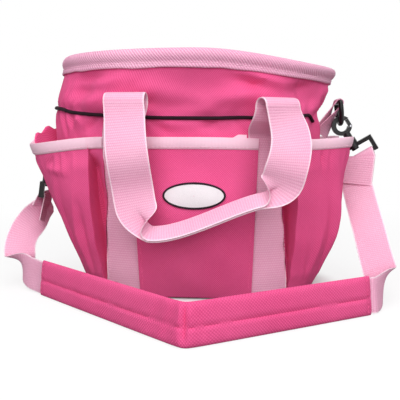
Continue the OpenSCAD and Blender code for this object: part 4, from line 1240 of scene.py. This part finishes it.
def folded_section(share):
    """The webbing's section with its inner half turned over the outer one, for a column of shares."""
    across, off = WEB_SECTION[None, :, 0], WEB_SECTION[None, :, 1]
    reach = np.maximum(-across, 0)
    turn = 180 * share
    over = across < 0
    x = np.where(over, -reach * cos_deg(turn) + off * sin_deg(turn), across)
    lift = reach * sin_deg(turn) * FLAP_STAND_SHARE + off * cos_deg(turn)
    lift = lift + share * (WEB_T + FLAP_GAP) * np.clip(reach / FLAP_RISE, 0, 1)
    y = np.where(over, lift, off)
    x = x - share * WEB_W / 4
    y = y - share * WEB_T
    tilt = GRIP_TILT * share
    return x * cos_deg(tilt) + y * sin_deg(tilt), y * cos_deg(tilt) - x * sin_deg(tilt)


def make_handle(face):
    s = np.arange(1, DROP_ROWS + 1) / DROP_ROWS
    line = np.concatenate([bezier(LEFT_DROP, np.concatenate([[0], s])),
                           bezier(GRIP_RUN, np.arange(1, GRIP_ROWS + 1) / GRIP_ROWS), bezier(RIGHT_DROP, s)])
    flap = ease((s - FOLD_IN_SHARE) / (1 - FOLD_IN_SHARE))
    share = np.concatenate([[0], flap, np.ones(GRIP_ROWS), flap[-2::-1], [0]])[:, None]
    along = run_lengths(line)
    to_end = np.minimum(along, along[-1] - along)[:, None]
    upright = np.where(along[:, None] < along[-1] / 2, -1.0, 1.0) * np.array([[0, 1.0]])
    way = unit(mix(upright, unit(np.gradient(line, axis=0)), ease(to_end / SQUARE_RUN)))
    across, off = folded_section(share)
    half = along[-1] / 2
    drop_bow = DROP_BOW * np.sin(np.pi * np.clip(to_end / (DROP_BOW_SHARE * half), 0, 1)) ** 2
    bow = mix(drop_bow, GRIP_BOW, ease((to_end / half - GRIP_BOW_SHARE) / GRIP_BOW_RUN_SHARE))
    rings = points(line[:, :1] + way[:, 1:] * across, -HANDLE_Y - off - bow,
                   line[:, 1:] - way[:, :1] * across)
    left_share = 1 - ease(along / UNTWIST_RUN)
    right_share = 1 - ease((along[-1] - along) / UNTWIST_RUN)
    rings = twist_loop(LEFT, rings, left_share[:, None])
    rings = twist_loop(RIGHT, rings, right_share[:, None])
    words = FACE_WORDS[face]
    rings = on_face(face, rings)[0]
    piece = sweep(words + "_carry_webbing", rings, ribbon_map(along, WEB_SECTION), WEBBING)
    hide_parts(words + "_handle")
    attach(piece, words + "_handle")


for web_face in (FRONT, BACK):
    make_leg(LEFT, web_face)
    make_leg(RIGHT, web_face)
    make_handle(web_face)


# Tabs: short loops of webbing that hold the rings at the two ends of the collar
TAB_W, TAB_ROWS = 25 * MM, 14
TAB_TURNS = {LEFT: 0, RIGHT: 42}
TAB_LOOP_R = 3.5 * MM
TAB_HALF_GAP = 0.85 * MM
TAB_ROOT_Z = 163 * MM
TAB_ARM_ROWS, TAB_SEAM_SHARES = 8, (0.35, 0.6)
CROSS_SEAM_IN, CROSS_SEAM_POINTS = 2 * MM, 40
RING_ARCS = {LEFT: np.array([-165, 0, 150]) * MM, RIGHT: np.array([147, 0, 186]) * MM}
RING_WIRE_REACH = 6 * MM
RING_LINE = RING_ARCS[RIGHT] - RING_ARCS[LEFT]
RING_TILT = math.atan2(RING_LINE[2], RING_LINE[0])
TAB_SECTION = ribbon_section(TAB_W, WEB_T, steps=10)


def row_ways(line):
    return unit(np.gradient(line, axis=0))


def ribbon_rings(line, wide, up, section):
    across, off = section[None, :, :1], section[None, :, 1:]
    return line[:, None] + wide[:, None] * across + up[:, None] * off


def cross_seam(centre, wide, out, width):
    """A row of stitches across webbing, and its outward way."""
    reach = width / 2 - CROSS_SEAM_IN
    row = centre + wide * np.linspace(-reach, reach, CROSS_SEAM_POINTS)[:, None]
    row = row + out * (WEB_T / 2 + STITCH_LIFT)
    return row, np.broadcast_to(out, row.shape)


def make_tab(side):
    tilt = np.array([math.sin(RING_TILT), 0, -math.cos(RING_TILT)])
    bar = RING_ARCS[side] - RING_WIRE_REACH * tilt
    t = 180 if side == LEFT else 0
    root = skin(t, TAB_ROOT_Z, 0)
    way = unit(bar - root)
    out = side * np.array([way[2], 0, -way[0]])
    foot = root + np.array([side * (abs(out[0]) * (WEB_T + SEAM_GAP / 2) + SEAM_GAP), 0, 0])
    a = np.linspace(0, 180, TAB_ROWS)[:, None]
    loop = bar - out * TAB_LOOP_R * cos_deg(a) + way * TAB_LOOP_R * sin_deg(a)
    share = np.linspace(0, 1, TAB_ARM_ROWS)[:, None]
    under = mix(foot - out * TAB_HALF_GAP, loop[0], share)
    over = mix(loop[-1], foot + out * TAB_HALF_GAP, share)
    line = np.concatenate([under[:-1], loop, over[1:]])
    to_root = np.clip(1 - ((line - foot) @ way) / ((bar - foot) @ way), 0, 1)[:, None]
    turned = TAB_TURNS[side] * to_root
    wide = side * (np.array([0, 1, 0]) * cos_deg(turned) + out * sin_deg(turned))
    up = np.cross(row_ways(line), wide)
    rings = ribbon_rings(line, wide, up, TAB_SECTION)
    words = SIDE_WORDS[side]
    cloth_map = ribbon_map(run_lengths(line), TAB_SECTION)
    piece = sweep(words + "_ring_tab", rings, cloth_map, WEBBING)
    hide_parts(words + "_tab")
    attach(piece, "bag")
    rows = []
    for s in TAB_SEAM_SHARES:
        centre = mix(loop[-1], foot + out * TAB_HALF_GAP, s)
        rows.append(cross_seam(centre, np.array([0, 1, 0]), out, TAB_W))
    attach(stitches(words + "_tab_stitches", rows, PALE_THREAD), "bag")


make_tab(LEFT)
make_tab(RIGHT)


# Shoulder strap: two webbing ends turned back round the hooks' eyes, and a padded sleeve on the floor
EYE_BARS = {LEFT: np.array([-168.804, 0, 93.999]) * MM, RIGHT: np.array([170.294, 0, 135.759]) * MM}
HOOK_LEANS, EYE_TURNS = {LEFT: 8, RIGHT: 32}, {LEFT: 0, RIGHT: 75}
STRAP_BOW, STRAP_STUB, STRAP_TUCK = 14 * MM, 9 * MM, 0.6 * MM
STRAP_LOOP_R = 3.0 * MM
TURN_BACK = 30 * MM
TURN_BACK_GAPS = 1.4 * MM, 2.2 * MM
# Each row of a route: bow outward, then the shares of the way forward and down to the pad's end
STRAP_ROUTES = {
    LEFT: [[0.2, 0.04, 0.2], [0.8, 0.15, 0.35], [1.3, 0.3, 0.51], [1.45, 0.46, 0.69], [1.05, 0.66, 0.88],
           [0.2, 0.85, 0.97]],
    RIGHT: [[-0.25, 0.03, 0.25], [0, 0.17, 0.44], [0.2, 0.35, 0.62], [0.35, 0.52, 0.79], [0.45, 0.69, 0.92],
            [0.3, 0.85, 0.98]],
}
# The way the webbing's width lies at each row of its route
STRAP_LAYS = {
    LEFT: [[-0.5, -0.8, 0.2], [-0.8, -0.5, 0.2], [-0.95, -0.2, 0.15], [-0.93, 0.05, 0.3], [-0.5, 0.3, 0.75],
           [-0.1, 0.2, 0.97]],
    RIGHT: [[0.93, -0.3, 0.25], [0.95, -0.25, 0.2], [0.97, -0.1, 0.15], [0.93, 0.1, 0.35], [0.6, 0.4, 0.7],
            [0.15, 0.2, 0.97]],
}
STRAP_SECTION = ribbon_section(STRAP_W, WEB_T, steps=16)
PAD_BEND = np.array([0, -236, 0]) * MM
PAD_ARMS = {LEFT: 222 * MM, RIGHT: 189 * MM}
PAD_TURNS = {LEFT: 46, RIGHT: 33}
PAD_W, PAD_HALF_T, PAD_LEAN = 35 * MM, 4 * MM, 6


def pad_way(side):
    return np.array([side * cos_deg(PAD_TURNS[side]), sin_deg(PAD_TURNS[side]), 0])


def pad_in(side):
    return np.array([-side * sin_deg(PAD_TURNS[side]), cos_deg(PAD_TURNS[side]), 0])


def pad_up(inward):
    return PAD_W * (inward * sin_deg(PAD_LEAN) + np.array([0, 0, 1]) * cos_deg(PAD_LEAN))


def pad_out(inward):
    return PAD_HALF_T * (np.array([0, 0, 1]) * sin_deg(PAD_LEAN) - inward * cos_deg(PAD_LEAN))


def pad_end(side, past):
    return PAD_BEND + (PAD_ARMS[side] + past) * pad_way(side) + pad_up(pad_in(side)) / 2


def smooth_run(values, per_step):
    """Catmull-Rom curve through the rows of values."""
    values = np.asarray(values, float)
    padded = np.concatenate([2 * values[:1] - values[1:2], values, 2 * values[-1:] - values[-2:-1]])
    rows = []
    for i in range(len(values) - 1):
        a, b, c, d = padded[i:i + 4]
        s = (np.arange(per_step) / per_step)[:, None]
        rows.append(0.5 * (2 * b + (c - a) * s + (2 * a - 5 * b + 4 * c - d) * s ** 2
                           + (3 * b - a - 3 * c + d) * s ** 3))
    return np.concatenate(rows + [values[-1:]])


STRAP_PER_STEP = 12
STRAP_LOOP_ROWS, TURN_BACK_ROWS, MEET_ROWS = 12, 10, 8
STRAP_SEAM_ROWS = 5, 13


def make_strap(side):
    bar, last = EYE_BARS[side], pad_end(side, STRAP_STUB)
    run = [[bar[0] + side * bow * STRAP_BOW, mix(bar[1], last[1], forward), mix(bar[2], last[2], down)]
           for bow, forward, down in STRAP_ROUTES[side]] + [last, pad_end(side, STRAP_TUCK)]
    lays = STRAP_LAYS[side] + [unit(pad_up(pad_in(side)))] * 2
    run = np.array(run)
    turn, tilt = EYE_TURNS[side], HOOK_LEANS[side]
    flat = np.array([side * sin_deg(turn) * cos_deg(tilt), -cos_deg(turn), sin_deg(turn) * sin_deg(tilt)])
    rise = unit(np.array([0, 0, 1]) - flat * flat[2])
    outward = -side * np.cross(flat, rise)
    share = TURN_BACK / np.linalg.norm(run[0] - bar)
    tail = mix(bar - outward * TURN_BACK_GAPS[0], run[0] - outward * TURN_BACK_GAPS[1], share)
    a = np.linspace(180, 0, STRAP_LOOP_ROWS)[:, None]
    loop = bar + STRAP_LOOP_R * (outward * cos_deg(a) + rise * sin_deg(a))
    back = mix(tail, loop[0], np.linspace(0, 1, TURN_BACK_ROWS)[:, None])
    free_run = smooth_run(run, STRAP_PER_STEP)
    free_lay = smooth_run(lays, STRAP_PER_STEP)
    share = np.linspace(0, 1, MEET_ROWS)[1:-1, None]
    meet, easing = mix(loop[-1], free_run[0], share), mix(flat, free_lay[:1], share)
    line = np.concatenate([back[:-1], loop, meet, free_run])
    lay = np.concatenate([np.repeat(flat[None], len(back) - 1 + len(loop), 0), easing, free_lay])
    way = row_ways(line)
    wide = unit(lay - way * (way * lay).sum(-1, keepdims=True))
    up = np.cross(way, wide)
    rings = ribbon_rings(line, wide, up, STRAP_SECTION)
    words = SIDE_WORDS[side]
    cloth_map = ribbon_map(run_lengths(line), STRAP_SECTION)
    piece = sweep(words + "_strap_webbing", rings, cloth_map, STRAP_WEBBING)
    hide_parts(words + "_strap")
    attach(piece, "strap")
    first = len(back) - 1 + len(loop)
    rows, face = [], np.sign((up[first + 2] * outward).sum())
    for step in STRAP_SEAM_ROWS:
        k = first + step
        rows.append(cross_seam(line[k], wide[k], up[k] * face, STRAP_W))
    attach(stitches(words + "_strap_stitches", rows, PALE_THREAD), "strap")


make_strap(LEFT)
make_strap(RIGHT)


# Padded sleeve of the strap: a long cushion with a sewn channel, bent to a V where it lies on the floor
PAD_STEPS, PAD_SIDE_STEPS = 150, 22
PAD_TURN_REACH_SHARE = 0.18
PAD_CORNER = 5 * MM
PAD_FULL, PAD_BACK_FULL = 1.05, 0.9
CHANNEL_W_SHARE, CHANNEL_D_SHARE, CHANNEL_AT_SHARE = 0.035, 0.5, 0.46
PAD_END_PINCH, PAD_END_RUN = 0.6, 9 * MM
PAD_STITCH_IN = 5 * MM
CHANNEL_POINTS, CHANNEL_LIFT_SHARE = 300, 0.06
END_SEAM_SHARES, END_POINTS, END_LIFT_SHARE = (0.06, 0.94), 40, 0.05
CROWN_POWER = 5
# Waves of the filling: share of the fullness, pitch along the pad, slant across it and start
PAD_LUMPS = [(0.07, 13 * MM, 2, 0), (0.05, 29 * MM, -3, 1)]
PAD_CREASE_LOW_SHARE, PAD_CREASE_RUN_SHARE = 0.25, 0.7
# Each crease near the bend: place along the pad, its slant, width and depth as a share of the fullness
PAD_CREASES = [(0.0, 0.0, 3.2 * MM, 0.95), (-17 * MM, 0.5, 4.5 * MM, 0.5), (14 * MM, -0.45, 4 * MM, 0.45),
               (-34 * MM, 0.35, 6 * MM, 0.3), (36 * MM, -0.4, 6 * MM, 0.3), (-95 * MM, 0.3, 8 * MM, 0.22),
               (88 * MM, -0.3, 8 * MM, 0.2), (140 * MM, -0.35, 7 * MM, 0.25), (-160 * MM, 0.35, 8 * MM, 0.25)]


def pad_inward(d):
    middle = unit(pad_way(LEFT) + pad_way(RIGHT))
    middle = middle / (middle @ pad_in(RIGHT))
    left = ease(-d / (PAD_TURN_REACH_SHARE * PAD_ARMS[LEFT]))[..., None]
    right = ease(d / (PAD_TURN_REACH_SHARE * PAD_ARMS[RIGHT]))[..., None]
    return middle + (pad_in(LEFT) - middle) * left + (pad_in(RIGHT) - middle) * right


def pad_foot(d):
    round_d = np.sqrt(d * d + PAD_CORNER ** 2)
    left, right = (round_d - d) / 2, (round_d + d) / 2
    return PAD_BEND + pad_way(LEFT) * left[..., None] + pad_way(RIGHT) * right[..., None]


def pad_swell(d, p, full):
    """How far the pad stands off its middle sheet, at d metres from the bend and share p of its width."""
    edge = np.minimum(d + PAD_ARMS[LEFT], PAD_ARMS[RIGHT] - d)
    ends = 1 - PAD_END_PINCH * (1 - ease(edge / PAD_END_RUN))
    crown = (1 - np.abs(2 * p - 1) ** CROWN_POWER) ** 0.5
    lumps = 1
    for share, pitch, slant, start in PAD_LUMPS:
        lumps = lumps + share * np.sin(d / pitch + slant * p + start)
    for place, slant, width, depth in PAD_CREASES:
        away = d - place - slant * (p - 0.5) * PAD_W
        lumps = lumps - depth * bell(away, width) * ease((p + PAD_CREASE_LOW_SHARE) / PAD_CREASE_RUN_SHARE)
    return full * crown * ends * lumps


def pad_front(d, p):
    """How far the front of the pad stands off its middle sheet, with the sewn channel."""
    return pad_swell(d, p, PAD_FULL) * (1 - CHANNEL_D_SHARE * bell(p - CHANNEL_AT_SHARE, CHANNEL_W_SHARE))


def pad_point(d, p, off_share):
    inward = pad_inward(d)
    place = pad_foot(d) + pad_up(inward) * p[..., None] + pad_out(inward) * off_share[..., None]
    return points(place[..., 0], place[..., 1], np.maximum(place[..., 2], 0))


def make_pad():
    d = np.linspace(-PAD_ARMS[LEFT], PAD_ARMS[RIGHT], PAD_STEPS + 1)[:, None]
    p = 0.5 - 0.5 * cos_deg(np.linspace(0, 180, PAD_SIDE_STEPS + 1))[None, :]
    p = mix(p, np.linspace(0, 1, PAD_SIDE_STEPS + 1)[None, :], 0.5)
    d_grid, p_grid = np.broadcast_arrays(d, p)
    front = pad_point(d_grid, p_grid, pad_front(d_grid, p_grid))
    back = pad_point(d_grid, p_grid, -pad_swell(d_grid, p_grid, PAD_BACK_FULL))
    rings = np.concatenate([front[:, ::-1], back], 1)
    around = np.concatenate([p[0, ::-1], -p[0], p[0, -1:]]) * PAD_W
    piece = sweep("shoulder_cushion", rings, points(d, around[None, :]), PAD_CLOTH)
    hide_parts("shoulder_pad")
    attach(piece, "strap")


def pad_line(d, p, off_share):
    d, p = np.broadcast_arrays(d, p)
    off = pad_front(d, p) + off_share
    line = pad_point(d, p, off)
    return line, pad_point(d, p, off + 1) - line


def make_pad_stitches():
    ends = -PAD_ARMS[LEFT] + PAD_STITCH_IN, PAD_ARMS[RIGHT] - PAD_STITCH_IN
    rows = [pad_line(np.linspace(*ends, CHANNEL_POINTS), CHANNEL_AT_SHARE, CHANNEL_LIFT_SHARE)]
    for end in ends:
        rows.append(pad_line(end, np.linspace(*END_SEAM_SHARES, END_POINTS), END_LIFT_SHARE))
    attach(stitches("pad_stitches", rows, PINK_THREAD), "strap")


make_pad()
make_pad_stitches()


# Finishes of the solids that stay
MOULDED_PARTS = "ring", "hook", "gate", "eye"
SOLID_FINISHES = [
    (BLACK_PLASTIC, [words + "_" + part for words in SIDE_WORDS.values() for part in MOULDED_PARTS]),
    (HOOP_STEEL, ["left_gate_pin", "right_gate_pin", "rim_hoop"]),
    (BOARD, ["base_board"]),
]
for finish, node_names in SOLID_FINISHES:
    for node_name in node_names:
        for finish_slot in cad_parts[node_name].material_slots:
            finish_slot.material = finish


# Floor, light and camera
FLOOR_REACH = 3.0
FLOOR_SHINE_SHARE, FLOOR_FADE = 0.8, (0.3, 0.8)
UNDER_SHINE_SHARE, UNDER_FADE = 0.05, (1.0, 1.35)
FLOOR_GREY, FLOOR_OFF_WHITE = paint(100, 98, 100), paint(250, 249, 250)
FLOOR_GRAIN_SCALE, FLOOR_ROUGH = 40, 0.9
WORLD_LIGHT = 0.42
CAMERA_AT = Vector((37.8, -721, 163.4)) * MM
CAMERA_PITCH, CAMERA_YAW = math.radians(90 - 5.96), math.radians(3.0)
LENS, SENSOR = 60.3, 36
LAMP_AIM = Vector((0, 0, 0.1))
# Each lamp's place and size in metres, and its power in watts
LAMPS = {"key_lamp": ((0.08, -1.4, 1.05), 2.2, 36), "top_lamp": ((0.1, -0.2, 1.7), 0.8, 4)}


def seen_rays(tree):
    """1 for rays that the camera sends, straight or by way of shine or glass, and 0 for the rest."""
    light = tree.nodes.new("ShaderNodeLightPath").outputs
    bent = calc(tree, "MAXIMUM", light["Is Glossy Ray"], light["Is Transmission Ray"])
    return calc(tree, "MAXIMUM", light["Is Camera Ray"], bent)


def from_middle(tree, place, half_x, half_y):
    """How far a place on the floor is from the bag's middle, in these half widths."""
    x = calc(tree, "POWER", calc(tree, "DIVIDE", place[0], half_x), 2)
    y = calc(tree, "POWER", calc(tree, "DIVIDE", place[1], half_y), 2)
    return calc(tree, "SQRT", calc(tree, "ADD", x, y))


def make_floor():
    mesh = bpy.data.meshes.new("floor")
    r = FLOOR_REACH
    mesh.from_pydata([(-r, -r, 0), (r, -r, 0), (r, r, 0), (-r, r, 0)], [], [(0, 1, 2, 3)])
    material, tree, shader, coords = start_material("floor_white")
    shader["Roughness"].default_value = FLOOR_ROUGH
    glow = tree.nodes.new("ShaderNodeEmission")
    seen = seen_rays(tree)
    grain = noise(tree, coords["Object"], FLOOR_GRAIN_SCALE, detail=3)
    pale = blend_colours(tree, grain, WHITE, FLOOR_OFF_WHITE)
    tree.links.new(blend_colours(tree, seen, FLOOR_GREY, pale), shader["Base Color"])
    place = split(tree, coords["Object"])
    clear = span(tree, from_middle(tree, place, BASE_W / 2, BASE_D / 2), *UNDER_FADE)
    near = calc(tree, "MULTIPLY_ADD", clear, FLOOR_SHINE_SHARE - UNDER_SHINE_SHARE, UNDER_SHINE_SHARE)
    far = span(tree, from_middle(tree, place, 1, 1), *FLOOR_FADE)
    shine = calc(tree, "MULTIPLY_ADD", far, 1 - FLOOR_SHINE_SHARE, near)
    mixer = tree.nodes.new("ShaderNodeMixShader")
    tree.links.new(calc(tree, "MULTIPLY", seen, shine), mixer.inputs[0])
    tree.links.new(tree.nodes["Principled BSDF"].outputs[0], mixer.inputs[1])
    tree.links.new(glow.outputs[0], mixer.inputs[2])
    tree.links.new(mixer.outputs[0], tree.nodes["Material Output"].inputs[0])
    mesh.materials.append(material)
    floor = bpy.data.objects.new("floor", mesh)
    bpy.context.scene.collection.objects.link(floor)


def make_world():
    world = bpy.data.worlds.new("white_room")
    world.use_nodes = True
    tree = world.node_tree
    strength = calc(tree, "MULTIPLY_ADD", seen_rays(tree), 1 - WORLD_LIGHT, WORLD_LIGHT)
    tree.links.new(strength, tree.nodes["Background"].inputs[1])
    tree.nodes["Background"].inputs[0].default_value = WHITE
    bpy.context.scene.world = world


def make_lamp(name, place, size, watts):
    lamp = bpy.data.lights.new(name, "AREA")
    lamp.shape, lamp.size, lamp.energy = "DISK", size, watts
    holder = bpy.data.objects.new(name, lamp)
    holder.location = place
    holder.rotation_euler = (LAMP_AIM - Vector(place)).to_track_quat("-Z", "Y").to_euler()
    bpy.context.scene.collection.objects.link(holder)


def make_camera():
    camera = bpy.data.cameras.new("camera")
    camera.lens, camera.sensor_width = LENS, SENSOR
    holder = bpy.data.objects.new("camera", camera)
    holder.location = CAMERA_AT
    holder.rotation_euler = (CAMERA_PITCH, 0, CAMERA_YAW)
    bpy.context.scene.collection.objects.link(holder)
    bpy.context.scene.camera = holder


make_floor()
make_world()
for lamp_name, lamp_values in LAMPS.items():
    make_lamp(lamp_name, *lamp_values)
make_camera()
bpy.context.scene.view_settings.view_transform = "Standard"
